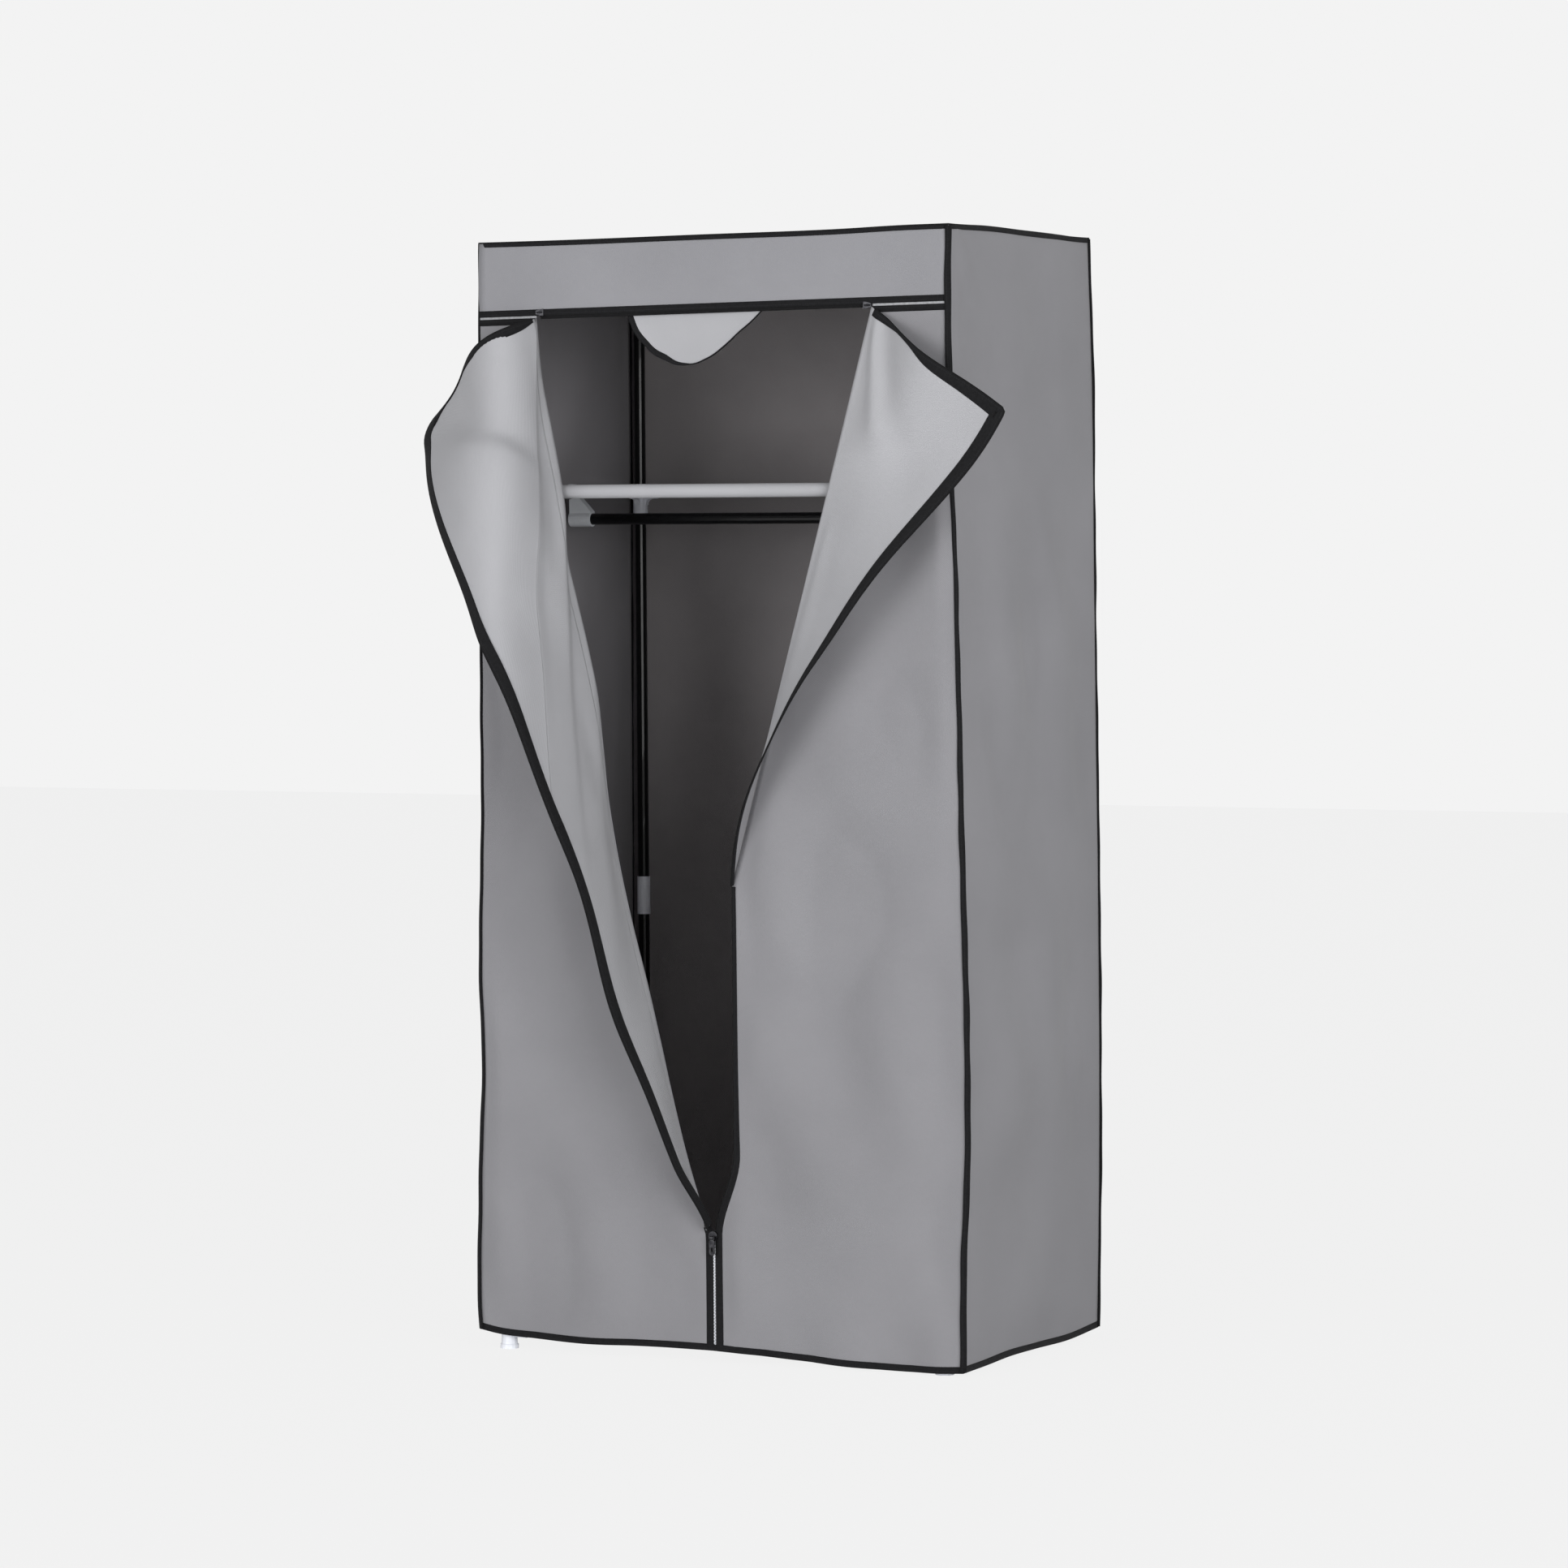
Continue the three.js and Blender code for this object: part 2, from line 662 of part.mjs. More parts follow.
// The crease across the left door: beyond it the door's top corner turns back further
const creaseAlong = { down: Math.cos(creaseSlant), across: Math.sin(creaseSlant) };
const creaseOut = { down: -Math.sin(creaseSlant), across: Math.cos(creaseSlant) };

function pastCrease(point) {
  return (point.down + creaseRise) * creaseOut.down + point.across * creaseOut.across;
}

function onCrease(along, out) {
  return {
    down: along * creaseAlong.down + out * creaseOut.down - creaseRise,
    across: along * creaseAlong.across + out * creaseOut.across,
  };
}

// Share of the way between two points at which the crease is crossed
function creaseCrossing(first, second) {
  const from = pastCrease(first);
  return between(first, second, from / (from - pastCrease(second)));
}

function creaseDistance(point) {
  return (point.down + creaseRise) * creaseAlong.down + point.across * creaseAlong.across;
}

const doorRoot = foldBeadRadius + foldGap;

// Points where the crease meets the top edge and the zip edge of the left door
function creaseEnds(edge) {
  const topStart = onFold(leftFold, leftFoldTopX, doorTop);
  const topEnd = creaseCrossing(topStart, edge[0]);
  let i = 1;
  while (pastCrease(edge[i]) > 0) {
    i++;
  }
  return { top: topEnd, low: creaseCrossing(edge[i - 1], edge[i]), after: i };
}

const doorColumns = 5;
const doorRows = 26;

// Main part of the left door, between its fold, the crease and the lower zip edge
function leftDoor() {
  const edge = zipEdge(leftFold, 1, leftFlapEndHeight);
  const ends = creaseEnds(edge);
  const outer = [];
  for (const end of [ends.top, ends.low]) {
    outer.push(onCrease(creaseDistance(end), -creaseGap));
  }
  outer.push(...edge.slice(ends.after));
  const rootTop = onFold(leftFold, leftFoldTopX, doorTop);
  const rootLow = edge[edge.length - 1];
  const surface = (u, v) => {
    const root = { down: THREE.MathUtils.lerp(rootTop.down, rootLow.down, v), across: doorRoot };
    return leftOpenPoint(between(root, alongChain(outer, v), u));
  };
  return clothSheet(surface, doorColumns, doorRows);
}

// Top corner of the left door, turned back about the crease
function leftDoorCorner() {
  const edge = zipEdge(leftFold, 1, leftFlapEndHeight);
  const ends = creaseEnds(edge);
  const from = creaseDistance(ends.top);
  const to = creaseDistance(ends.low);
  const chain = [ends.top, ...edge.slice(0, ends.after), ends.low];
  const total = alongChain(chain, 1);
  const outer = [];
  const startShare = narrowEnd / Math.hypot(edge[0].down - ends.top.down, edge[0].across - ends.top.across);
  outer.push(between(ends.top, edge[0], startShare));
  outer.push(...edge.slice(0, ends.after));
  const last = edge[ends.after - 1];
  const endShare = narrowEnd / Math.hypot(total.down - last.down, total.across - last.across);
  outer.push(between(total, last, Math.min(endShare, 1 / 2)));
  const plane = leftFold.across.clone().multiplyScalar(Math.cos(leftDoorAngle));
  plane.addScaledVector(forward, Math.sin(leftDoorAngle));
  const beyond = leftFold.across.clone().multiplyScalar(-Math.sin(leftDoorAngle));
  beyond.addScaledVector(forward, Math.cos(leftDoorAngle));
  const surface = (u, v) => {
    const root = onCrease(THREE.MathUtils.lerp(from, to, v), creaseGap);
    const point = between(root, alongChain(outer, v), u);
    const out = pastCrease(point);
    const flat = onCrease(creaseDistance(point), out * Math.cos(cornerAngle));
    const place = leftFold.top.clone().addScaledVector(leftFold.up, -flat.down);
    place.addScaledVector(plane, flat.across);
    return place.addScaledVector(beyond, out * Math.sin(cornerAngle));
  };
  return clothSheet(surface, doorColumns, doorRows);
}

// Right door, in one piece from its fold to the zip edge
function rightDoor() {
  const lowest = rightFoldLowHeight + (doorRoot + narrowEnd) / (-rightFold.across.z / rightFold.across.x);
  const outer = zipEdge(rightFold, -1, lowest);
  const rootTop = onFold(rightFold, rightFoldTopX, doorTop);
  const rootLow = outer[outer.length - 1];
  const surface = (u, v) => {
    const root = { down: THREE.MathUtils.lerp(rootTop.down, rootLow.down, v), across: doorRoot };
    return rightOpenPoint(between(root, alongChain(outer, v), u));
  };
  return clothSheet(surface, doorColumns, doorRows);
}

// Round roll of cloth along a fold, which the fixed panel carries
function foldBead(fold, lowest) {
  const low = new THREE.Vector3(foldX(fold, lowest), fold.top.y, lowest);
  const length = fold.top.distanceTo(low);
  const geometry = new THREE.CylinderGeometry(foldBeadRadius, foldBeadRadius, length, foldBeadFacets);
  const turn = new THREE.Quaternion().setFromUnitVectors(unit.y, fold.up);
  geometry.applyQuaternion(turn);
  const middle = new THREE.Vector3().addVectors(fold.top, low).divideScalar(2);
  geometry.translate(middle.x, middle.y, middle.z);
  return toSolid(geometry);
}

const panelSteps = 10;

// Fixed front panel on one side: from the corner to the fold line, and below it to the zip
function frontPanel(side, fold, foldEnd) {
  const top = headerBottom - seatGap;
  const points = [];
  for (let i = 0; i <= panelSteps; i++) {
    const z = THREE.MathUtils.lerp(top, frontHem(side * coverHalfWidth(0)), i / panelSteps);
    points.push([side * coverHalfWidth(z), z]);
  }
  for (let i = panelSteps - 1; i > 0; i--) {
    const x = THREE.MathUtils.lerp(zipX, side * coverHalfWidth(0), i / panelSteps);
    points.push([x, frontHem(x)]);
  }
  const slotX = (z) => zipLine(z) + (side * zipSlot) / 2;
  points.push([slotX(0), frontHem(zipX)]);
  // The left door starts just above the slider, so only the right panel follows the zip's bow.
  const slotSteps = side > 0 ? panelSteps : 1;
  for (let i = 0; i < slotSteps; i++) {
    const z = THREE.MathUtils.lerp(sliderRestHeight - sliderLength / 2, foldEnd, i / slotSteps);
    points.push([slotX(z), z]);
  }
  points.push([foldX(fold, foldEnd), foldEnd]);
  points.push([fold.top.x, doorTop]);
  points.push([fold.top.x, top]);
  const cloth = toSolid(frontCloth(side > 0 ? points.reverse() : points, frontY));
  return toGeometry(cloth.add(foldBead(fold, foldEnd)));
}

function addDoors() {
  addPart("front_left_panel", frontPanel(-1, leftFold, leftFlapEndHeight), clothGrey);
  addPart("front_right_panel", frontPanel(1, rightFold, rightFoldLowHeight), clothGrey);
  addPart("left_door_flap", leftDoor(), liningGrey);
  addPart("left_door_corner", leftDoorCorner(), liningGrey);
  addPart("right_door_flap", rightDoor(), liningGrey);
}

// Half round cloth tab that hangs from the inside of the header, clear of the sliders
function addHeaderTab() {
  const near = frontY + clothThickness + seatGap + clothThickness / 2;
  const surface = (u, v) => {
    const width = Math.sqrt(Math.max(1 - v * v, 0)) * headerTabHalfWidth;
    const reach = Math.max(width, narrowEnd);
    const z = THREE.MathUtils.lerp(headerTabSewn, headerTabLow, v);
    const back = headerTabBack * eased((headerTabSewn - z) / (headerTabSewn - headerBottom));
    return new THREE.Vector3(tabCentreX + THREE.MathUtils.lerp(-reach, reach, u), near + back, z);
  };
  addPart("header_tab", clothSheet(surface, 4, 14), liningGrey);
}

// Plate of a slider, wider at its upper end, with rounded corners
function sliderPlateSolid(outerY) {
  const half = sliderWidth / 2;
  const end = sliderLength / 2;
  const outline = new THREE.Shape();
  outline.moveTo(-half / 2, -end);
  outline.lineTo(half / 2, -end);
  outline.quadraticCurveTo(half, -end / 2, half, 0);
  outline.absarc(0, 0, half, 0, Math.PI, false);
  outline.quadraticCurveTo(-half, -end / 2, -half / 2, -end);
  const options = { depth: sliderPlate, bevelEnabled: false, curveSegments: 8 };
  const geometry = new THREE.ExtrudeGeometry(outline, options);
  geometry.applyMatrix4(fromAxis.z);
  geometry.translate(0, outerY + sliderPlate, 0);
  return toSolid(geometry);
}

function box(width, depth, tall, centre) {
  return toSolid(new THREE.BoxGeometry(width, depth, tall).translate(centre.x, centre.y, centre.z));
}

const doorFrontY = foldY - clothThickness / 2;
const plateFrontY = doorFrontY - sliderFrontGap - sliderPlate;
const pinY = plateFrontY - lugReach + pinRadius + seatGap;
const pinHeight = -sliderLength / 2 + lugLength;

// Centre slider: two plates, the neck between them, and lugs with a pin for the pull tab
function addSlider() {
  const innerY = frontY + clothThickness + sliderBackGap;
  const solids = [sliderPlateSolid(plateFrontY), sliderPlateSolid(innerY)];
  const neckFrom = plateFrontY + sliderPlate / 2;
  const neckTo = innerY + sliderPlate / 2;
  const neckCentre = new THREE.Vector3(0, (neckFrom + neckTo) / 2, 0);
  solids.push(box(sliderNeckWidth, neckTo - neckFrom, sliderNeckLength, neckCentre));
  for (const side of [-1, 1]) {
    const x = (side * (lugSpan - lugThickness)) / 2;
    const centre = new THREE.Vector3(x, plateFrontY - lugReach / 2 + sliderPlate / 4, pinHeight);
    solids.push(box(lugThickness, lugReach + sliderPlate / 2, lugLength, centre));
  }
  const pinCentre = new THREE.Vector3(0, pinY, pinHeight);
  const pinHalf = lugSpan / 2 - lugThickness / 2;
  solids.push(toSolid(rod("x", pinRadius, -pinHalf, pinHalf, pinFacets, pinCentre)));
  const place = new THREE.Vector3(zipX, 0, sliderRestHeight);
  addPart("zip_slider", toGeometry(joined(solids)), zipDark, place);
}

// Pull tab: a flat tongue with a slot, and a knuckle that turns on the slider's pin
function addPullTab() {
  const knuckleBore = pinRadius + seatGap;
  const knuckleRadius = knuckleBore + knuckleWall;
  const half = tabWidth / 2;
  const tongue = new THREE.Shape();
  tongue.moveTo(-half / 2, -knuckleRadius + knuckleWall / 2);
  tongue.lineTo(-half, -2 * knuckleRadius);
  tongue.lineTo(-half, -tabLength + half);
  tongue.absarc(0, -tabLength + half, half, Math.PI, 2 * Math.PI, false);
  tongue.lineTo(half, -2 * knuckleRadius);
  tongue.lineTo(half / 2, -knuckleRadius + knuckleWall / 2);
  tongue.closePath();
  const slot = new THREE.Path();
  const slotLow = -tabLength + tabHoleInset + tabHoleWidth / 2;
  const slotHigh = slotLow + tabHoleLength - tabHoleWidth;
  slot.absarc(0, slotLow, tabHoleWidth / 2, Math.PI, 2 * Math.PI, false);
  slot.absarc(0, slotHigh, tabHoleWidth / 2, 0, Math.PI, false);
  slot.closePath();
  tongue.holes.push(slot);
  const options = { depth: tabThickness, bevelEnabled: false, curveSegments: 8 };
  const geometry = new THREE.ExtrudeGeometry(tongue, options);
  geometry.applyMatrix4(fromAxis.z);
  geometry.translate(0, tabThickness / 2, 0);
  const knuckleHalf = lugSpan / 2 - lugThickness - seatGap;
  const knuckle = toSolid(rod("x", knuckleRadius, -knuckleHalf, knuckleHalf, pinFacets));
  const bore = toSolid(rod("x", knuckleBore, -lugSpan, lugSpan, pinFacets));
  const tab = toSolid(geometry).add(knuckle).subtract(bore);
  const place = new THREE.Vector3(zipX, pinY, sliderRestHeight + pinHeight);
  addPart("zip_pull_tab", toGeometry(tab), zipDark, place);
}

// Closed length of the centre zip, from the hem up to the slider
function addZipChain() {
  const low = frontHem(zipX);
  const high = sliderRestHeight - sliderNeckLength / 2 - seatGap;
  const width = zipSlot - 2 * seatGap;
  const centre = new THREE.Vector3(zipX, frontY + clothThickness / 2, (low + high) / 2);
  addPart("zip_chain", new THREE.BoxGeometry(width, clothThickness, high - low), zipLight, centre);
}

// One slider of the top zips, which runs in the slot between the header and a door
function addTopSlider(name, side) {
  const tall = headerBottom - doorTop - 2 * seatGap;
  const middle = (headerBottom + doorTop) / 2;
  const fold = side < 0 ? leftFoldTopX : rightFoldTopX;
  const x = fold - side * (topSliderLength / 2 + seatGap);
  const body = new THREE.Shape();
  const half = topSliderLength / 2;
  const cheek = tall / 2;
  body.moveTo(side * half, -cheek / 2);
  body.lineTo(side * half, cheek / 2);
  body.quadraticCurveTo(0, cheek, -side * half, cheek);
  body.lineTo(-side * half, -cheek);
  body.quadraticCurveTo(0, -cheek, side * half, -cheek / 2);
  body.closePath();
  const options = { depth: topSliderDepth, bevelEnabled: false, curveSegments: 6 };
  const geometry = new THREE.ExtrudeGeometry(body, options);
  geometry.applyMatrix4(fromAxis.z);
  geometry.translate(0, topSliderDepth / 2, 0);
  const loop = new THREE.TorusGeometry(topSliderLoopRadius, topSliderLoopWall, 6, 14);
  loop.translate(0, -topSliderDepth / 2 - topSliderLoopRadius / 2, 0);
  const solid = toSolid(geometry).add(toSolid(loop));
  const y = frontY + clothThickness / 2 - foldForward / 2;
  addPart(name, toGeometry(solid), zipDark, new THREE.Vector3(x, y, middle));
}

for (const corner of corners) {
  addConnectors(corner);
  addUprights(corner);
}
addLevel("bottom", footTubeHeight);
addLevel("shelf", shelfHeight);
addLevel("top", topTubeHeight);
addRail();
addShelf();
addCoverShell();
addDoors();
addHeaderTab();
addSlider();
addPullTab();
addZipChain();
addTopSlider("left_top_slider", -1);
addTopSlider("right_top_slider", 1);

// The origin is the middle of the footprint of the whole part, open doors included, on the floor.
const bounds = new THREE.Box3().setFromObject(assembly);
const middle = bounds.getCenter(new THREE.Vector3());
assembly.position.set(-middle.x, -middle.y, -bounds.min.z);
const wardrobe = new THREE.Group();
wardrobe.add(assembly);

export default wardrobe;
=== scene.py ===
import itertools
import math

import bpy
import numpy as np
from mathutils import Matrix, Vector


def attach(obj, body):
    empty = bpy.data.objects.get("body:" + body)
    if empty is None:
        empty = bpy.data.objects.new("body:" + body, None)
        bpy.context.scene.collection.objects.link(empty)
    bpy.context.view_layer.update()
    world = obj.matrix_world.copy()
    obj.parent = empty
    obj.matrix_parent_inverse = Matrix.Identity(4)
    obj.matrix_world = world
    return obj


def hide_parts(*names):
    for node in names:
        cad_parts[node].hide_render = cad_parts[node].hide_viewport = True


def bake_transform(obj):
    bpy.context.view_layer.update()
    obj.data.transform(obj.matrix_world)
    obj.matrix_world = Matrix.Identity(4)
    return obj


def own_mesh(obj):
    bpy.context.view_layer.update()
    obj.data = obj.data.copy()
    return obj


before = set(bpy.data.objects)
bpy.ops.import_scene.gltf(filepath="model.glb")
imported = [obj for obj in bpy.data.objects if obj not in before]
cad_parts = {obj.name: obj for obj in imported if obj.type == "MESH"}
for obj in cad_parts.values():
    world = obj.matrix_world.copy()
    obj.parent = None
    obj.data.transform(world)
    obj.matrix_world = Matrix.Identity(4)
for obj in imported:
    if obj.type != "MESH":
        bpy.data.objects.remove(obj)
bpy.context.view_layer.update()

# Lengths are in millimetres about the middle of the cover; the row's origin lies this far from it
ROW_SHIFT = np.array((10.1073, 84.3396, 0.0))
MM = 0.001
UP = np.array((0.0, 0.0, 1.0))
FORWARD = np.array((0.0, -1.0, 0.0))

# Cover, doorway and shelf
HEIGHT = 1550
FRONT_Y = -228
REAR_Y = 228
DEPTH = REAR_Y - FRONT_Y
CLOTH = 0.7
DOOR_TOP = 1441
STRIP_TOP = 1445.6
HALF_SLOT = 2.6
ZIP_X = -4
ZIP_BOW = 29
ZIP_BOW_LOW = 290
ZIP_BOW_HIGH = 600
SLIDER_HEIGHT = 175
DOORWAY_LOW = 172
DOORWAY_LOW_RISE = 36
SHELF_HEIGHT = 1198
SHELF_HALF_WIDTH = 305
FRAME_DEPTH = 422
TUBE_RADIUS = 8
SLEEVE_GAP = 1.1
SHELF_SAG = 1.8

# Doors: ends of their folds, angles in radians, and how far down each turn is full and has faded out
FOLD_Y = -230.4
LEFT_FOLD_TOP = (-268, FOLD_Y, DOOR_TOP)
LEFT_FOLD_LOW = (-20, FOLD_Y, 205)
LEFT_DOOR_END = 184
LEFT_ANGLE = 1.94
LEFT_TURN_FULL = 700
LEFT_TURN_NONE = 2900
LEFT_CORNER_ROUND = 30
CORNER_ANGLE = 1.5
CREASE_SLANT = 0.299
CREASE_RISE = 45
BEND_LOW_HEIGHT = 780
BEND_LENGTH = 170.0
RIGHT_FOLD_TOP = (245, FOLD_Y, DOOR_TOP)
RIGHT_FOLD_LOW_HEIGHT = 655
RIGHT_ANGLE = 2.88
RIGHT_TURN_FULL = 80
RIGHT_TURN_NONE = 1490
RIGHT_CORNER_ROUND = 6

# Photograph, and the camera fitted to it
PHOTO_SIZE = 1932
FOCAL_PIXELS = 7581.4
CAMERA_AZIMUTH = math.radians(25.96)
CAMERA_ELEVATION = math.radians(2.68)
CAMERA_ROLL = math.radians(-0.42)
CAMERA_DISTANCE = 8634.1
CAMERA_TARGET = np.array((-3.5, 0.0, 786.2))
SENSOR = 36
CLIP_END = 60

GOLDEN_ANGLE = 2.399


# Helpers for numbers and points
def row(points):
    """Points in metres in the row's frame."""
    return (np.asarray(points, float) + ROW_SHIFT) * MM


def eased(value):
    """Smooth step from 0 to 1."""
    t = np.clip(value, 0, 1)
    return t * t * (3 - 2 * t)


def unit(v):
    v = np.asarray(v, float)
    return v / np.maximum(np.linalg.norm(v, axis=-1, keepdims=True), 1e-9)


def through(points, at):
    """Smooth curve through (position, value) pairs."""
    p = np.array(sorted(points), float)
    x, y = p[:, 0], p[:, 1]
    slope = np.gradient(y, x)
    at = np.clip(at, x[0], x[-1])
    i = np.clip(np.searchsorted(x, at) - 1, 0, len(x) - 2)
    h = x[i + 1] - x[i]
    t = (at - x[i]) / h
    rest = 1 - t
    ends = rest * rest * (1 + 2 * t) * y[i] + t * t * (3 - 2 * t) * y[i + 1]
    return ends + t * rest * h * (rest * slope[i] - t * slope[i + 1])


def ripple(a, b, scale, seed):
    """Soft unevenness between about -1 and 1, the same at each run."""
    total = 0
    for k in range(4):
        turn = GOLDEN_ANGLE * (k + seed)
        wave = scale * (0.7 + 0.28 * k) / (2 * math.pi)
        total = total + np.sin((a * math.cos(turn) + b * math.sin(turn)) / wave + 1.7 * seed + k)
    return total / 2.6


def creases(flat, lines):
    """Depth of soft creases. Each line has its first and last point, its half width and its depth."""
    total = np.zeros(flat.shape[:-1])
    for first, last, half, depth in lines:
        first, last = np.array(first, float), np.array(last, float)
        run = last - first
        share = ((flat - first) @ run) / (run @ run)
        beside = ((flat - first) @ np.array((-run[1], run[0]))) / np.linalg.norm(run)
        fade = eased((share + 0.15) / 0.35) * eased((1.25 - share) / 0.6)
        widening = half * (0.5 + 0.6 * np.clip(share, 0, 1))
        total += depth * fade * np.exp(-((beside / widening) ** 2))
    return total


def together(*parts):
    """Points from their coordinates, each a number or an array."""
    return np.stack(np.broadcast_arrays(*parts), axis=-1)


def lengths_along(points, axis=0):
    """Length from the first point to each point of a chain, or of a grid along one of its axes."""
    steps = np.diff(points, axis=axis, prepend=points.take([0], axis=axis))
    return np.cumsum(np.linalg.norm(steps, axis=-1), axis=axis)


def resample(chain, count):
    """Points evenly spaced along a chain."""
    run = lengths_along(chain)
    wanted = np.linspace(0, run[-1], count)
    return together(*(np.interp(wanted, run, column) for column in chain.T))


def softened(points, reach):
    """A chain with its kinks taken out; its ends stay."""
    before = 2 * points[:1] - points[reach:0:-1]
    after = 2 * points[-1:] - points[-2:-reach - 2:-1]
    padded = np.concatenate((before, points, after))
    kernel = np.ones(2 * reach + 1) / (2 * reach + 1)
    return together(*(np.convolve(column, kernel, mode="valid") for column in padded.T))


def rim_of(grid):
    """The border of a grid, once round."""
    return np.concatenate((grid[0, :-1], grid[:-1, -1], grid[-1, :0:-1], grid[:0:-1, 0]))


def turned(vectors, axis, angle):
    """Vectors turned about an axis, each by its own angle."""
    c, s = np.cos(angle)[..., None], np.sin(angle)[..., None]
    along = (vectors @ axis)[..., None] * axis
    return vectors * c + np.cross(axis, vectors) * s + along * (1 - c)


# Camera of the photograph
def camera_axes():
    sa, ca = math.sin(CAMERA_AZIMUTH), math.cos(CAMERA_AZIMUTH)
    se, ce = math.sin(CAMERA_ELEVATION), math.cos(CAMERA_ELEVATION)
    back = np.array((sa * ce, -ca * ce, se))
    right = np.array((ca, sa, 0.0))
    up = np.cross(back, right)
    sr, cr = math.sin(CAMERA_ROLL), math.cos(CAMERA_ROLL)
    return right * cr + up * sr, up * cr - right * sr, back


CAM_RIGHT, CAM_UP, CAM_BACK = camera_axes()
CAM_PLACE = CAMERA_TARGET + CAM_BACK * CAMERA_DISTANCE


def pixels(points):
    """Where points fall in the photograph, in its own pixels."""
    offset = np.asarray(points, float) - CAM_PLACE
    depth = -(offset @ CAM_BACK)
    x = PHOTO_SIZE / 2 + FOCAL_PIXELS * (offset @ CAM_RIGHT) / depth
    y = PHOTO_SIZE / 2 - FOCAL_PIXELS * (offset @ CAM_UP) / depth
    return together(x, y)


def on_plane(pixel, y):
    """Point of the photograph's pixel in the upright plane at that depth."""
    ray = CAM_RIGHT * (pixel[0] - PHOTO_SIZE / 2) / FOCAL_PIXELS - CAM_BACK
    ray = ray + CAM_UP * (PHOTO_SIZE / 2 - pixel[1]) / FOCAL_PIXELS
    return CAM_PLACE + ray * (y - CAM_PLACE[1]) / ray[1]


def new_object(name, data):
    thing = bpy.data.objects.new(name, data)
    bpy.context.scene.collection.objects.link(thing)
    return thing


def add_camera():
    data = bpy.data.cameras.new("photo_camera")
    data.sensor_width = SENSOR
    data.lens = FOCAL_PIXELS * SENSOR / PHOTO_SIZE
    data.clip_end = CLIP_END
    camera = new_object("photo_camera", data)
    axes = Matrix((CAM_RIGHT, CAM_UP, CAM_BACK)).transposed().to_4x4()
    camera.matrix_world = Matrix.Translation(Vector(row(CAM_PLACE))) @ axes
    bpy.context.scene.camera = camera


# Shader nodes
class Tree:
    """The shader nodes of a material or of the world."""

    def __init__(self, owner):
        owner.use_nodes = True
        self.owner = owner
        self.nodes = owner.node_tree.nodes
        self.links = owner.node_tree.links

    def fill(self, node, inputs):
        """Set inputs to values, or link them to outputs of other nodes."""
        for name, value in dict(inputs).items():
            if isinstance(value, bpy.types.NodeSocket):
                self.links.new(value, node.inputs[name])
            else:
                node.inputs[name].default_value = value

    def add(self, kind, inputs=(), **settings):
        node = self.nodes.new(kind)
        for name, value in settings.items():
            setattr(node, name, value)
        self.fill(node, inputs)
        return node

    def math(self, operation, *values):
        return self.add("ShaderNodeMath", enumerate(values), operation=operation).outputs[0]

    def wave(self, value, pitch):
        return self.math("SINE", self.math("MULTIPLY", value, 2 * math.pi / pitch))

    def noise(self, vector, scale, detail):
        inputs = {"Vector": vector, "Scale": scale, "Detail": detail}
        return self.add("ShaderNodeTexNoise", inputs).outputs["Fac"]

    def place(self):
        return self.add("ShaderNodeTexCoord").outputs["Object"]

    def cloth_map(self):
        """The cloth's own map in metres, whole and in its two parts."""
        uv = self.add("ShaderNodeUVMap", uv_map="cloth").outputs["UV"]
        parts = self.add("ShaderNodeSeparateXYZ", {0: uv}).outputs
        return uv, parts["X"], parts["Y"]

    def between(self, factor, low, high, start=0.3, end=0.7):
        """Colour from low to high as the factor goes from start to end."""
        ramp = self.add("ShaderNodeValToRGB", {"Fac": factor})
        first, last = ramp.color_ramp.elements
        first.position, last.position = start, end
        first.color, last.color = (*low, 1), (*high, 1)
        return ramp.outputs["Color"]

    def finish(self, inputs, base, height, distance):
        """Give the material's main shader its inputs, colour and relief."""
        bump = self.add("ShaderNodeBump", {"Distance": distance, "Strength": 1.0, "Height": height})
        shader = self.nodes["Principled BSDF"]
        self.fill(shader, {**inputs, "Base Color": base, "Normal": bump.outputs["Normal"]})
        return self.owner

    def output_mix(self, kind, share, first, second):
        """Output node with a mix of two shaders: share is that of the second."""
        inputs = {0: share, 1: first.outputs[0], 2: second.outputs[0]}
        mix = self.add("ShaderNodeMixShader", inputs)
        self.add(kind, {"Surface": mix.outputs[0]})

    def seen_rays(self):
        """1 for rays from the camera, and for those that gloss or glass sends on."""
        path = self.add("ShaderNodeLightPath").outputs
        seen = self.math("MAXIMUM", path["Is Camera Ray"], path["Is Glossy Ray"])
        return self.math("MAXIMUM", seen, path["Is Transmission Ray"])


# Studio: pale floor and background, soft plain light
bpy.context.scene.view_settings.view_transform = "Standard"
BACKDROP = (0.896, 0.896, 0.896, 1)
WORLD_LIGHT = 0.4
FLOOR_COLOUR = (0.8, 0.8, 0.8, 1)
FLOOR_GLOW = 0.95
FLOOR_HALF = 14


def add_world():
    world = bpy.data.worlds.new("studio")
    bpy.context.scene.world = world
    tree = Tree(world)
    tree.nodes.clear()
    light = tree.add("ShaderNodeBackground", {"Color": (1, 1, 1, 1), "Strength": WORLD_LIGHT})
    seen = tree.add("ShaderNodeBackground", {"Color": BACKDROP})
    tree.output_mix("ShaderNodeOutputWorld", tree.seen_rays(), light, seen)


def add_lamp(name, place, target, size, power):
    data = bpy.data.lights.new(name, "AREA")
    data.shape = "SQUARE"
    data.size = size
    data.energy = power
    aim = (Vector(target) - Vector(place)).to_track_quat("-Z", "Y")
    new_object(name, data).matrix_world = Matrix.Translation(place) @ aim.to_matrix().to_4x4()


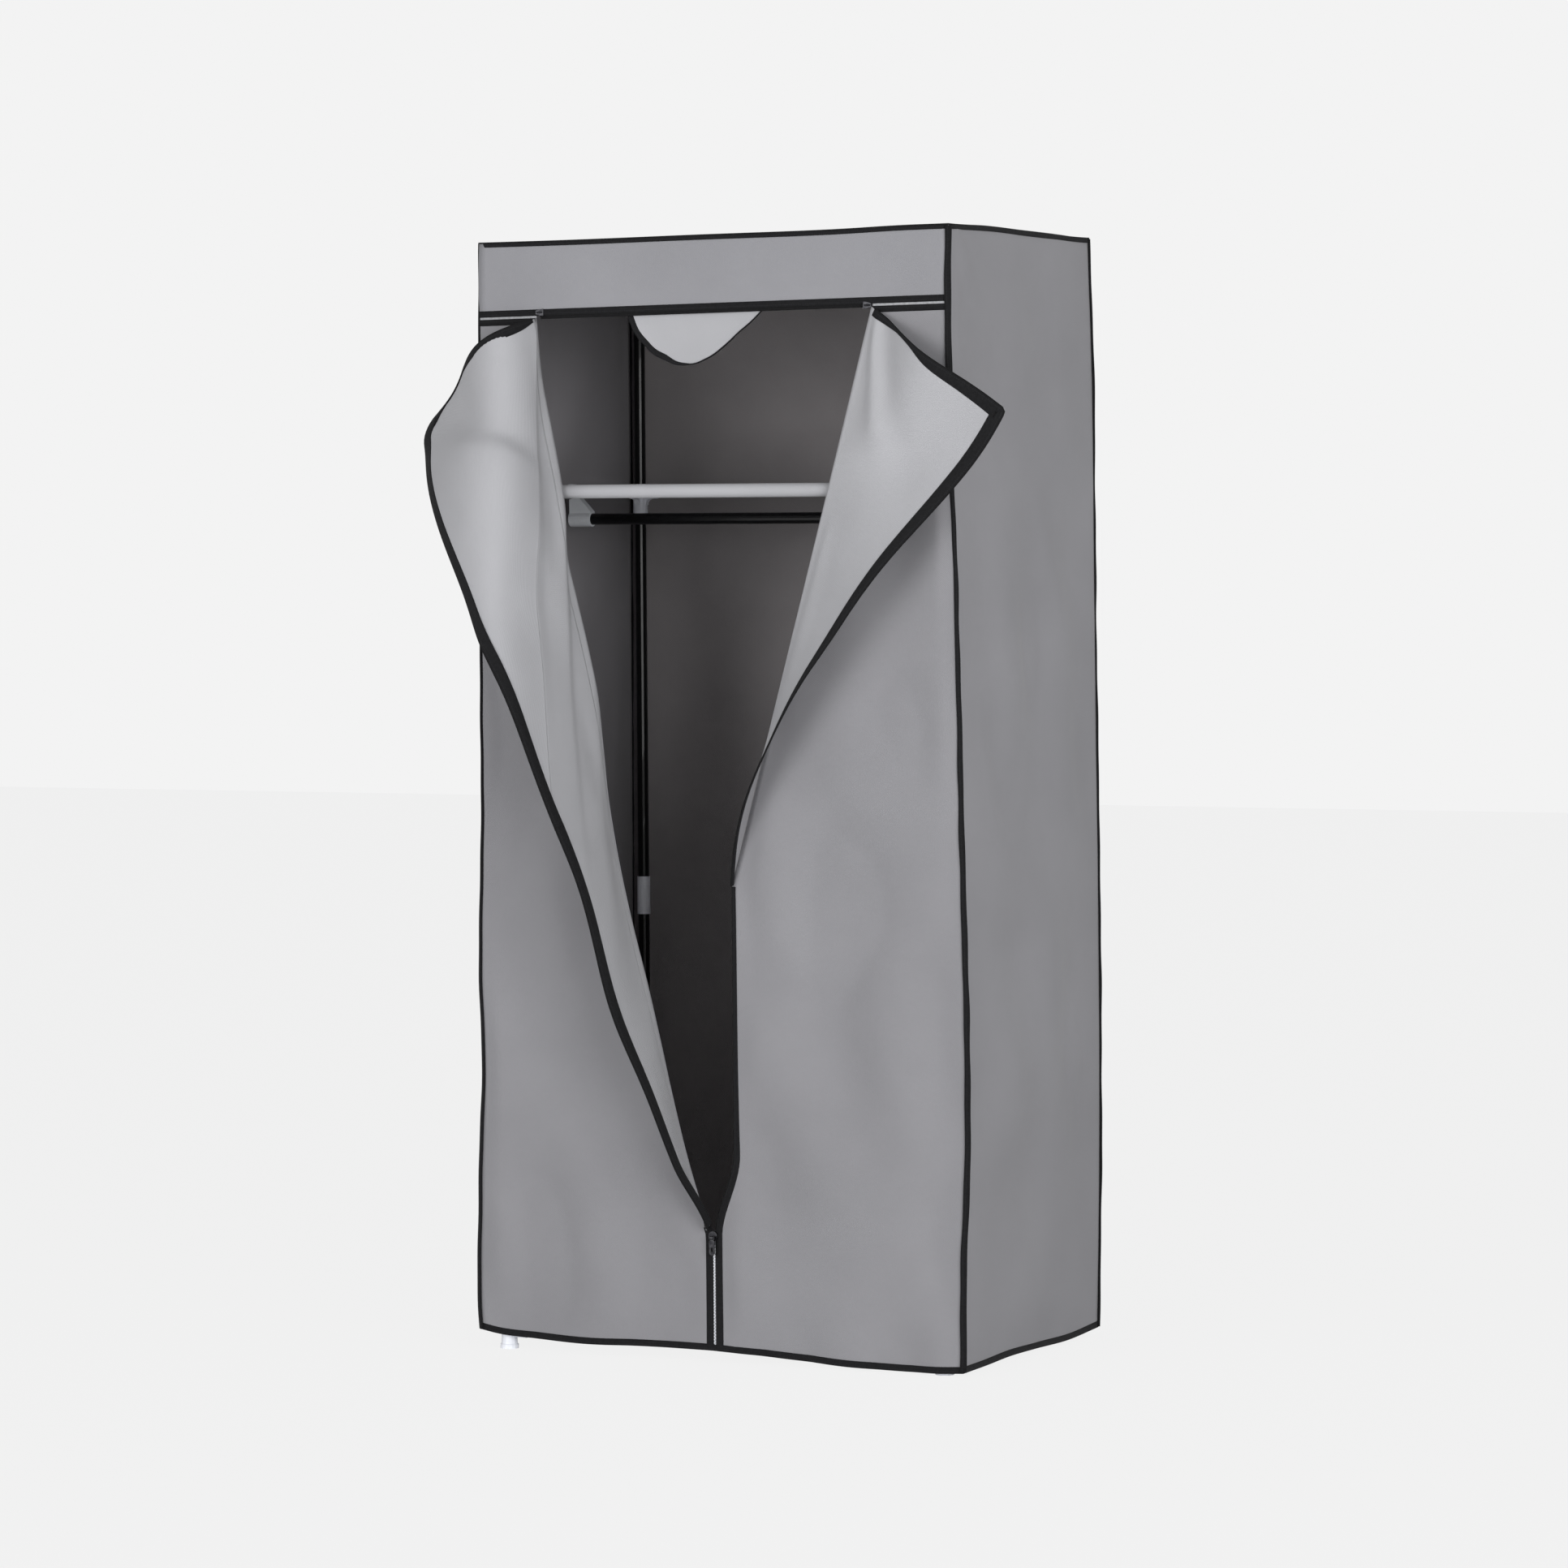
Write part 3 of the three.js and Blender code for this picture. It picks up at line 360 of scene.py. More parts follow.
def add_floor():
    corners = [(-1, -1), (1, -1), (1, 1), (-1, 1)]
    mesh = bpy.data.meshes.new("floor")
    mesh.from_pydata([(x * FLOOR_HALF, y * FLOOR_HALF, 0) for x, y in corners], [], [(0, 1, 2, 3)])
    material = bpy.data.materials.new("floor")
    tree = Tree(material)
    tree.nodes.clear()
    diffuse = tree.add("ShaderNodeBsdfDiffuse", {"Color": FLOOR_COLOUR})
    glow = tree.add("ShaderNodeEmission", {"Color": BACKDROP})
    share = tree.math("MULTIPLY", tree.seen_rays(), FLOOR_GLOW)
    tree.output_mix("ShaderNodeOutputMaterial", share, diffuse, glow)
    mesh.materials.append(material)
    new_object("floor", mesh)


# Materials: repeats of their patterns, in metres
POINT_PITCH = 0.0024
TWILL_PITCH = 0.0011
STITCH_PITCH = 0.0034
STITCH_INSET = 0.0028
STITCH_HALF = 0.00045


def shade(colour, factor):
    return tuple(c * factor for c in colour)


def nonwoven(name, colour, variation=0.05):
    """Pressed fibre cloth: a fine grid of embossed points, with loose fibres and faint cloudiness."""
    tree = Tree(bpy.data.materials.new(name))
    uv, across, along = tree.cloth_map()
    dots = tree.math("MULTIPLY", tree.wave(across, POINT_PITCH), tree.wave(along, POINT_PITCH))
    fibres = tree.noise(uv, 900, 4)
    cloud = tree.noise(tree.place(), 5.5, 3)
    height = tree.math("ADD", tree.math("MULTIPLY", dots, 0.35), fibres)
    tone = tree.math("ADD", tree.math("MULTIPLY", fibres, 0.25), cloud)
    base = tree.between(tone, shade(colour, 1 - variation), shade(colour, 1 + variation), 0.45, 0.85)
    inputs = {"Roughness": 0.85, "Sheen Weight": 0.12, "Specular IOR Level": 0.16}
    return tree.finish(inputs, base, height, 0.00022)


def woven_tape(name, colour, stitched=True):
    """Woven edge tape with a diagonal twill, and often a line of stitches along it."""
    tree = Tree(bpy.data.materials.new(name))
    uv, along, across = tree.cloth_map()
    height = tree.math("MULTIPLY", tree.wave(tree.math("ADD", along, across), TWILL_PITCH), 0.4)
    base = tree.between(tree.noise(uv, 240, 3), shade(colour, 0.8), shade(colour, 1.25))
    if stitched:
        dash = tree.math("GREATER_THAN", tree.wave(along, STITCH_PITCH), -0.35)
        offset = tree.math("ABSOLUTE", tree.math("SUBTRACT", across, STITCH_INSET))
        stitch = tree.math("MULTIPLY", dash, tree.math("LESS_THAN", offset, STITCH_HALF))
        height = tree.math("ADD", height, tree.math("MULTIPLY", stitch, 1.6))
        mixed = {0: stitch, 6: base, 7: (*shade(colour, 1.9), 1)}
        base = tree.add("ShaderNodeMix", mixed, data_type="RGBA").outputs[2]
    inputs = {"Roughness": 0.8, "Sheen Weight": 0.02, "Specular IOR Level": 0.1}
    return tree.finish(inputs, base, height, 0.0002)


def enamel(name):
    tree = Tree(bpy.data.materials.new(name))
    place = tree.place()
    grain = tree.noise(place, 420, 4)
    base = tree.between(grain, (0.0025, 0.0025, 0.003), (0.006, 0.006, 0.0068))
    span = {"Value": tree.noise(place, 34, 3), "To Min": 0.24, "To Max": 0.42}
    rough = tree.add("ShaderNodeMapRange", span).outputs[0]
    inputs = {"Roughness": rough, "Coat Weight": 0.12, "Specular IOR Level": 0.22}
    return tree.finish(inputs, base, grain, 0.00008)


def moulded(name, colour):
    tree = Tree(bpy.data.materials.new(name))
    place = tree.place()
    base = tree.between(tree.noise(place, 26, 3), shade(colour, 0.93), shade(colour, 1.06))
    return tree.finish({"Roughness": 0.48}, base, tree.noise(place, 1300, 2), 0.00012)


def zip_finish(name):
    tree = Tree(bpy.data.materials.new(name))
    wear = tree.noise(tree.place(), 190, 4)
    base = tree.between(wear, (0.02, 0.02, 0.023), (0.07, 0.07, 0.075), 0.4, 0.8)
    return tree.finish({"Roughness": 0.34, "Metallic": 0.85}, base, wear, 0.00006)


COVER = nonwoven("cover_cloth", (0.255, 0.253, 0.268))
HEADER = nonwoven("header_cloth", (0.270, 0.270, 0.288))
LINING = nonwoven("lining_cloth", (0.395, 0.396, 0.415))
# Inner faces of the cover walls: painted shade, much darker than the lining cloth, for the shade inside the
# wardrobe
INNER_PAINTED_SHADE = nonwoven("inner_face_painted_shade_cloth", (0.205, 0.198, 0.209))
# Inner face of the back wall: painted shade and light, darker than the lining yet lighter than the other
# inner faces, for the light that falls on the back through the doorway
BACK_INNER_PAINTED_SHADE = nonwoven("back_inner_painted_shade_cloth", (0.345, 0.325, 0.332), variation=0.1)
BLACK_TAPE = woven_tape("binding_tape", (0.0105, 0.0105, 0.0115))
ZIP_TAPE = woven_tape("zip_tape", (0.36, 0.365, 0.38), stitched=False)
# Open halves of the zip: a real tape whose near-black colour is painted shade; the same zip tape is light
# grey where the zip is closed
PAINTED_SHADE_ZIP_TAPE = woven_tape("zip_tape_painted_shade", (0.0075, 0.0075, 0.008), stitched=False)
ENAMEL = enamel("tube_enamel")
MOULDED = moulded("moulded_plastic", (0.84, 0.86, 0.92))
BRACKET = moulded("bracket_plastic", (0.62, 0.64, 0.67))
ZIP_METAL = zip_finish("zip_metal")


# Mesh making
def add_mesh(name, points, faces, smooth, face_materials, materials, uvs):
    mesh = bpy.data.meshes.new(name)
    mesh.from_pydata([tuple(p) for p in row(points)], [], [tuple(int(i) for i in f) for f in faces])
    for material in materials:
        mesh.materials.append(material)
    mesh.polygons.foreach_set("material_index", np.asarray(face_materials, np.int32))
    mesh.polygons.foreach_set("use_smooth", np.asarray(smooth, bool))
    layer = mesh.uv_layers.new(name="cloth")
    index = np.empty(len(mesh.loops), np.int32)
    mesh.loops.foreach_get("vertex_index", index)
    layer.data.foreach_set("uv", np.asarray(uvs, np.float32)[index].ravel())
    mesh.update()
    return new_object(name, mesh)


def add_sheet(name, grid, outer, inner):
    """Closed sheet about a grid of points: its outer face looks along the grid's normals."""
    rows, columns = grid.shape[:2]
    normals = unit(np.cross(np.gradient(grid, axis=1), np.gradient(grid, axis=0)))
    faced = [(grid + side * normals * CLOTH / 2).reshape(-1, 3) for side in (1, -1)]
    behind = rows * columns
    at = np.arange(behind).reshape(rows, columns)
    quads = together(at[:-1, :-1], at[:-1, 1:], at[1:, 1:], at[1:, :-1]).reshape(-1, 4)
    faces = [*quads, *(quads[:, ::-1] + behind)]
    loop = rim_of(at)
    for first, second in zip(loop, np.roll(loop, -1)):
        faces.append((second, first, first + behind, second + behind))
    kinds = [0] * len(quads) + [1] * len(quads) + [0] * len(loop)
    smooth = [True] * (2 * len(quads)) + [False] * len(loop)
    uv = together(lengths_along(grid, 1), lengths_along(grid)).reshape(-1, 2) * MM
    points, uvs = np.concatenate(faced), np.concatenate((uv, uv))
    return add_mesh(name, points, faces, smooth, kinds, (outer, inner), uvs)


# Rounded section of a tape, in shares of its width and of its thickness
SECTION = [
    (-0.5, 0), (-0.485, 0.3), (-0.44, 0.5), (0.44, 0.5), (0.485, 0.3), (0.5, 0), (0.485, -0.3),
    (0.44, -0.5), (-0.44, -0.5), (-0.485, -0.3),
]


def add_ribbon(name, path, across, normal, width, thickness, material, closed=False):
    """Flat tape swept along a path; across and normal are one direction, or one for each point."""
    count, sides = len(path), len(SECTION)
    width = np.asarray(width, float)[..., None]
    rings = [path + across * (a * width) + normal * b * thickness for a, b in SECTION]
    at = np.arange(count * sides).reshape(count, sides)
    if closed:
        at = np.concatenate((at, at[:1]))
    beside = np.roll(at, -1, axis=1)
    faces = [*together(at[:-1], at[1:], beside[1:], beside[:-1]).reshape(-1, 4)]
    if not closed:
        faces += [at[0], at[-1][::-1]]
    share = np.array([a for a, _ in SECTION]) + 0.5
    uv = together(lengths_along(path)[:, None], share * width)
    points = np.stack(rings, axis=1).reshape(-1, 3)
    kinds, smooth = [0] * len(faces), [True] * len(faces)
    return add_mesh(name, points, faces, smooth, kinds, (material,), uv.reshape(-1, 2) * MM)


# Thickness of each kind of tape, and how far it stands past the edge of the cloth
BINDING_THICK = 2.6
BINDING_OVERHANG = 0.8
SEAM_THICK = 3.2
ZIP_TAPE_THICK = 1.2
ZIP_TAPE_WIDTH = 5.0
ZIP_TAPE_OVERHANG = 2.3


def bind_edge(name, edge, inner, width, material=BLACK_TAPE, thickness=BINDING_THICK,
              overhang=BINDING_OVERHANG):
    """Binding along an edge of cloth: inner is a line of points just inside that edge."""
    along = unit(np.gradient(edge, axis=0))
    inward = inner - edge
    inward = unit(inward - along * np.sum(inward * along, axis=1, keepdims=True))
    normal = unit(np.cross(along, inward))
    path = edge + inward * (np.asarray(width) / 2 - overhang)[..., None]
    return add_ribbon(name, path, inward, normal, width, thickness, material)


def blend_between(piece):
    """The piece's place is baked into its mesh."""
    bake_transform(piece)


def ride_root(piece):
    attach(piece, "root")
    return piece


def finish_cloth(piece, node):
    ride_root(piece)
    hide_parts(node)


# Form of the cover, read from the photograph: X of each corner seam by height, and height of each edge
FRONT_RIGHT_X = [
    (5, 369.5), (151, 372), (349, 379), (502, 377.5), (765, 372), (1043, 367), (1200, 362), (1450, 357),
    (1551, 358),
]
FRONT_LEFT_X = [
    (27, -370), (58, -372), (241, -369), (412, -363), (526, -366), (753, -361), (980, -361), (1386, -359),
    (1542, -357),
]
REAR_RIGHT_X = [(15, 373), (52, 374), (1085, 374), (1370, 372), (1546, 366.6)]
REAR_LEFT_X = [(15, -368), (300, -364), (1100, -359), (1546, -357.5)]
FRONT_TOP_Z = [(-358, 1542.4), (-231, 1542.8), (-18, 1545.2), (203, 1547.6), (287, 1550.2), (358, 1551)]
SIDE_TOP_Z = [(-228, 1551), (-128, 1554), (-6, 1552.3), (105, 1550.7), (228, 1547)]
FRONT_HEM_Z = [
    (-370, 27.4), (-348, 22.9), (-283, 18.3), (-207, 15.6), (-105, 16.6), (-5, 16.4), (119, 9.8), (242, 4),
    (302, 3.5), (370, 5.5),
]
RIGHT_HEM_Z = [(-228, 5.5), (-154, 7), (-73, 9.7), (10, 9.1), (124, 7.1), (228, 12)]
LEFT_HEM_Z = [(-228, 27.4), (-60, 15), (90, 9), (228, 12)]
BACK_HEM_Z = 12
BACK_TOP_Z = 1545
BACK_SEAM_TOP_Z = 1547
BACK_TOP_SLOPE = 0.0056
# The top of the left wall lies lower than the right one's, by this much at the rear and more at the front
LEFT_TOP_DROP = 4
LEFT_FRONT_DROP = 8.6
# The left fold's silhouette in the photograph, in its own pixels
LEFT_FOLD_PIXELS = [
    (667, 464), (679, 528), (689, 582), (695, 621), (699, 691), (709, 734), (724, 798), (735, 852),
    (742, 915), (749, 984), (758, 1040), (779, 1140), (798, 1216), (813, 1282), (829, 1355), (846, 1425),
]
TOP_LEFT_X = -357
TOP_RIGHT_X = 358
REAR_LEFT_WIDER = 0.5
REAR_RIGHT_WIDER = 8.6
TOP_LEAN = 5.0
LEAN_LOW = 1200
LEAN_RISE = 300
# Swells of the cover: how far inwards at most, and below which heights they fade in, over SWELL_FADE
PANEL_INWARDS = -3.0
FRONT_SWELL_TOP = 1440
BACK_SWELL_TOP = 1500
SWELL_FADE = 200


def front_left_x(z):
    return through(FRONT_LEFT_X, z)


def front_right_x(z):
    return through(FRONT_RIGHT_X, z)


def back_top_z(x):
    return BACK_TOP_Z + BACK_TOP_SLOPE * x


def lean(x, z):
    """The doorway's head slopes a little, as the top edge does."""
    return TOP_LEAN * x / TOP_RIGHT_X * eased((z - LEAN_LOW) / LEAN_RISE)


def zip_line(z):
    rise = eased((z - SLIDER_HEIGHT) / (ZIP_BOW_LOW - SLIDER_HEIGHT))
    fall = eased((z - ZIP_BOW_HIGH) / (DOOR_TOP - ZIP_BOW_HIGH))
    return ZIP_X + ZIP_BOW * rise * (1 - fall)


def fold_x(top, low, z):
    return low[0] + (z - low[2]) * (top[0] - low[0]) / (top[2] - low[2])


RIGHT_FOLD_LOW = (float(zip_line(RIGHT_FOLD_LOW_HEIGHT)) + HALF_SLOT, FOLD_Y, RIGHT_FOLD_LOW_HEIGHT)


def left_bow_points():
    """How far the left fold bows away from its straight axis, by height."""
    points = [(LEFT_FOLD_LOW[2], 0.0), (LEFT_FOLD_TOP[2], 0.0)]
    for pixel in LEFT_FOLD_PIXELS:
        place = on_plane(pixel, FOLD_Y)
        points.append((place[2], max(fold_x(LEFT_FOLD_TOP, LEFT_FOLD_LOW, place[2]) - place[0], 0.0)))
    return points


LEFT_BOW = left_bow_points()


def left_bow(z):
    return np.where((z > LEFT_FOLD_LOW[2]) & (z < DOOR_TOP), through(LEFT_BOW, z), 0)


def left_doorway_x(z):
    folded = fold_x(LEFT_FOLD_TOP, LEFT_FOLD_LOW, z) - left_bow(z)
    closed = zip_line(z) - HALF_SLOT
    return closed + (folded - closed) * eased((z - DOORWAY_LOW) / DOORWAY_LOW_RISE)


def right_doorway_x(z):
    folded = fold_x(RIGHT_FOLD_TOP, RIGHT_FOLD_LOW, z)
    return np.where(z > RIGHT_FOLD_LOW_HEIGHT, folded, zip_line(z) + HALF_SLOT)


def grid_shares(rows, columns):
    """Shares across and up of a grid, columns from left to right and rows from low to high."""
    return np.linspace(0, 1, columns)[None, :], np.linspace(0, 1, rows)[:, None]


def front_grid(left_x, right_x, seed):
    """Front panel between two upright lines, from the hem to the zip strip below the header."""
    u, v = grid_shares(150, 40)
    hem = 0
    # The hem's height depends on X, and X on the height
    for _ in range(2):
        z = hem + (DOOR_TOP - hem) * v
        left, right = left_x(z), right_x(z)
        x = left + (right - left) * u
        hem = through(FRONT_HEM_Z, x)
    edge = eased(u / 0.12) * eased((1 - u) / 0.12)
    swell = 7.0 * ripple(x, z * 0.4, 150, seed) + 3.6 * ripple(x, z, 260, seed + 2) + 1.0
    y = FRONT_Y - eased((FRONT_SWELL_TOP - z) / SWELL_FADE) * np.maximum(swell, PANEL_INWARDS) * edge
    return together(x, y, z + lean(x, z))


def add_front_panels():
    left = front_grid(front_left_x, left_doorway_x, 3)
    right = front_grid(right_doorway_x, front_right_x, 7)
    for side, grid, width in (("left", left, 0.37), ("right", right, 0.38)):
        piece = add_sheet(f"front_{side}_cloth", grid, COVER, INNER_PAINTED_SHADE)
        finish_cloth(piece, f"front_{side}_panel")
    return {"left": left, "right": right}


def header_grid():
    x = np.linspace(-1, 1, 60)[None, :]
    v = np.linspace(0, 1, 14)[:, None]
    z = STRIP_TOP + (HEIGHT - STRIP_TOP) * v
    places = np.where(x < 0, -x * front_left_x(z), x * front_right_x(z))
    top = through(FRONT_TOP_Z, places)
    bottom = STRIP_TOP + lean(places, STRIP_TOP)
    z = bottom + (top - bottom) * v
    y = FRONT_Y - 2.2 * np.sin(math.pi * v) * (0.6 + 0.4 * ripple(places, z, 420, 5)) - 0.6
    return together(places, y, z)


# Soft creases of the walls, with points as height and place across: X for the back, and for a side how far
# from its left edge, as seen from outside
SIDE_CREASES = [
    ((1548, 20), (1440, 75), 20, 3.0), ((1500, 12), (1330, 40), 22, 2.4), ((900, 60), (620, 130), 34, 3.4),
    ((420, 380), (250, 300), 30, 3.0), ((1180, 250), (980, 330), 36, 3.0),
]
BACK_CREASES = [
    ((1405, 100), (1130, -160), 60, 12.0), ((1000, 60), (820, 210), 70, 9.0),
    ((700, -210), (380, -60), 60, 8.0),
]


def side_grid(side):
    """Side wall: rows from low to high, columns towards the right of someone who faces it."""
    front_points, rear_points, hem_points, seed = {
        1: (FRONT_RIGHT_X, REAR_RIGHT_X, RIGHT_HEM_Z, 11),
        -1: (FRONT_LEFT_X, REAR_LEFT_X, LEFT_HEM_Z, 14),
    }[side]
    u, v = grid_shares(160, 56)
    y = FRONT_Y + DEPTH * (u if side > 0 else 1 - u)
    top = through(SIDE_TOP_Z, y)
    if side < 0:
        top = top - (LEFT_FRONT_DROP * (REAR_Y - y) / DEPTH + LEFT_TOP_DROP)
    hem = through(hem_points, y)
    z = hem + (top - hem) * v
    share = (y - FRONT_Y) / DEPTH
    front, rear = side * through(front_points, z), side * through(rear_points, z)
    x = front + (rear - front) * share
    inside = np.sin(math.pi * share) * np.sin(math.pi * v) ** 0.5
    swell = 6 + 9.0 * ripple(y, z * 0.42, 150, seed) + 5.0 * ripple(y, z, 230, 17)
    x = x + inside * np.maximum(swell, PANEL_INWARDS)
    across = y - FRONT_Y if side > 0 else REAR_Y - y
    x = x + creases(together(z, across), SIDE_CREASES)
    return together(side * x, y, z)


def back_grid():
    u, v = grid_shares(100, 40)
    z = BACK_HEM_Z + (BACK_SEAM_TOP_Z - BACK_HEM_Z) * v
    right, left = through(REAR_RIGHT_X, z), through(REAR_LEFT_X, z)
    x = right + (left - right) * u
    z = BACK_HEM_Z + (back_top_z(x) - BACK_HEM_Z) * v
    swell = (2 + 3.5 * ripple(x, z * 0.5, 220, 21)) * eased((BACK_SWELL_TOP - z) / SWELL_FADE)
    y = REAR_Y + np.sin(math.pi * u) * (swell + creases(together(z, x), BACK_CREASES))
    return together(x, y, z)


def top_grid():
    u, v = grid_shares(34, 50)
    y = FRONT_Y + DEPTH * v
    left = TOP_LEFT_X - REAR_LEFT_WIDER * v
    right = TOP_RIGHT_X + REAR_RIGHT_WIDER * v
    x = left + (right - left) * u
    front, rear = through(FRONT_TOP_Z, x), back_top_z(x)
    side = through(SIDE_TOP_Z, y) - SIDE_TOP_Z[0][1]
    z = front + (rear - front) * v + side * u * np.sin(math.pi * v) * 0.8
    sag = np.sin(math.pi * u) ** 0.6 * np.sin(math.pi * v) ** 0.6
    return together(x, y, z - sag * (2.5 + 1.2 * ripple(x, y, 260, 31)))


def add_walls():
    grids = {}
    for part, node, grid, outer, inner, flat in (
        ("header", "header", header_grid(), HEADER, INNER_PAINTED_SHADE, (0.72, 0.11)),
        ("right", "right_side", side_grid(1), COVER, INNER_PAINTED_SHADE, (0.46, 1.545)),
        ("left", "left_side", side_grid(-1), COVER, INNER_PAINTED_SHADE, (0.46, 1.535)),
        ("back", "back", back_grid(), COVER, BACK_INNER_PAINTED_SHADE, (0.75, 1.54)),
        ("top", "top", top_grid(), COVER, INNER_PAINTED_SHADE, (0.735, 0.46)),
    ):
        piece = add_sheet(f"cover_{part}_cloth", grid, outer, inner)
        finish_cloth(piece, f"cover_{node}")
        grids[part] = grid
    return grids


# The doors: each is turned about its fold, as the CAD doors are
class Fold:
    def __init__(self, body, side, top, low, angle, turn_full, turn_none):
        self.body = body
        self.side = side
        self.top = np.array(top, float)
        self.up = unit(self.top - np.array(low, float))
        self.across = np.array((self.up[2], 0.0, -self.up[0])) * side
        self.angle = angle
        self.turn_full = turn_full
        self.turn_none = turn_none

    def flat(self, x, z):
        """Down and across of a point of the closed door."""
        offset = together(x, self.top[1], z) - self.top
        return together(-(offset @ self.up), offset @ self.across)

    def closed(self, flat):
        return self.top - flat[..., :1] * self.up + flat[..., 1:] * self.across

    def leaning(self, flat):
        """How far the doorway's head moves each point of the door up."""
        closed = self.closed(flat)
        return lean(closed[..., 0], closed[..., 2])[..., None] * UP

    def turn(self, flat):
        reached = (self.turn_none - flat[..., 0]) / (self.turn_none - self.turn_full)
        return (self.angle * eased(reached))[..., None]

    def open(self, flat):
        angle = self.turn(flat)
        outwards = self.across * np.cos(angle) + FORWARD * np.sin(angle)
        return self.top - flat[..., :1] * self.up + outwards * flat[..., 1:]

    def normal(self, flat):
        angle = self.turn(flat)
        return FORWARD * np.cos(angle) - self.across * np.sin(angle)

    def blend(self, piece):
        blend_between(piece)


# Each fold's side is 1 where its door lies to the right of it, and else -1
LEFT_FOLD = Fold("left_door", 1, LEFT_FOLD_TOP, LEFT_FOLD_LOW, LEFT_ANGLE, LEFT_TURN_FULL, LEFT_TURN_NONE)
RIGHT_FOLD = Fold("right_door", -1, RIGHT_FOLD_TOP, RIGHT_FOLD_LOW, RIGHT_ANGLE, RIGHT_TURN_FULL,
                  RIGHT_TURN_NONE)

# Points along the top of a door's outline, round its corner and down the zip
TOP_POINTS = 40
ROUND_POINTS = 9
ZIP_POINTS = 160


def door_outline(fold, lowest, radius):
    """Free edge of a closed door: along its top from the fold, round the corner and down the zip."""
    side = fold.side
    corner_z = DOOR_TOP - radius
    corner_x = float(zip_line(corner_z)) - side * HALF_SLOT
    x = list(np.linspace(fold.top[0], corner_x - side * radius, TOP_POINTS))
    z = [DOOR_TOP] * TOP_POINTS
    for angle in np.linspace(0, math.pi / 2, ROUND_POINTS)[1:]:
        x.append(corner_x - side * radius * (1 - math.sin(angle)))
        z.append(DOOR_TOP - radius * (1 - math.cos(angle)))
    for height in np.linspace(corner_z, lowest, ZIP_POINTS)[1:]:
        x.append(float(zip_line(height)) - side * HALF_SLOT)
        z.append(height)
    return fold.flat(np.array(x), np.array(z))


# How far a door is pulled to the photograph's outline at most, and how wide each pull spreads
LEFT_PULL = 30
RIGHT_PULL = 34
LEFT_SPREAD = 38.0
RIGHT_SPREAD = 44.0


def cross(a, b):
    return a[..., 0] * b[..., 1] - a[..., 1] * b[..., 0]


def pull_to(points, normals, outline, limit):
    """How far each point moves along its normal to fall on an outline of the photograph."""
    here = pixels(points)
    step = pixels(points + normals) - here
    line = np.array(outline, float)
    start, run = line[:-1], np.diff(line, axis=0)
    moves = np.zeros(len(points))
    for i, (p, g) in enumerate(zip(here, step)):
        across = cross(g, run)
        across = np.where(np.abs(across) < 1e-9, 1e-9, across)
        s, t = cross(start - p, run) / across, cross(start - p, g) / across
        hits = s[(t >= 0) & (t <= 1)]
        if len(hits):
            best = hits[np.argmin(np.abs(hits))]
            moves[i] = np.clip(best, -limit, limit) if abs(best) < 2.5 * limit else 0
    reach = 12
    kernel = np.exp(-(np.arange(-reach, reach + 1) / 3.5) ** 2)
    padded = np.pad(moves, reach, mode="edge")
    return np.convolve(padded, kernel / kernel.sum(), mode="valid")


def pull_field(flat, chain, moves, side_edge, spread):
    """The edge's moves carried inwards over a door, fading towards its fold."""
    points = flat.reshape(-1, 2)
    total = np.zeros(len(points))
    weight = np.zeros(len(points)) + 1e-12
    for place, move in zip(chain[::2], moves[::2]):
        k = np.exp(-((points - place) ** 2).sum(axis=1) / (2 * spread * spread))
        total += k * move
        weight += k
    reach = np.clip(np.interp(points[:, 0], side_edge[:, 0], side_edge[:, 1]), 8, 150)
    fade = eased(points[:, 1] / reach)
    return (total / weight * fade).reshape(flat.shape[:-1])[..., None]


def door_flat(side_edge, u):
    """Points of a closed door, at shares of the way from its fold to its side edge."""
    outer = resample(side_edge, len(u))
    root = together(np.linspace(0, side_edge[-1, 0], len(u)), 0.0)
    return root[:, None] * (1 - u[..., None]) + outer[:, None] * u[..., None]


# Free edges of the open doors in the photograph, from the top of each fold downwards, in its own pixels
LEFT_EDGE_PIXELS = [
    (664, 396), (654, 395), (629, 403), (618, 409), (607, 419), (591, 446), (580, 462), (554, 498),
    (541, 510), (529, 525), (524, 537), (523, 551), (525, 580), (529, 609), (535, 634), (546, 668),
    (566, 716), (588, 775), (594, 798), (610, 829), (628, 870), (643, 913), (658, 954), (676, 1000),
    (692, 1040), (713, 1083), (733, 1166), (748, 1239), (760, 1269), (783, 1315), (806, 1365), (816, 1405),
    (832.5, 1441), (852, 1471), (862, 1491), (872, 1518),
]
RIGHT_EDGE_PIXELS = [
    (1070, 381), (1081, 401), (1096.5, 421), (1127, 446), (1167, 467), (1216, 491.5), (1238, 508),
    (1236, 516), (1216, 551), (1193, 579), (1141, 640), (1104, 674), (1070, 716), (1047, 746), (1031, 785),
    (1010, 810), (992, 835), (971, 870), (955, 904), (938, 944),
]
# Soft creases of the doors, with points as millimetres down and across the closed door
LEFT_CREASES = [
    ((60, 6), (330, 40), 26, 5.0), ((250, 18), (400, 46), 22, 4.0), ((330, 70), (560, 60), 34, 3.0),
    ((560, 40), (820, 20), 26, 3.0),
]
RIGHT_CREASES = [
    ((0, 8), (170, 66), 17, 7.0), ((10, 30), (210, 120), 30, -4.0), ((300, 20), (560, 40), 26, 2.4),
]
# The strip at the left fold reaches this far forward
STRIP_REACH = 10.0


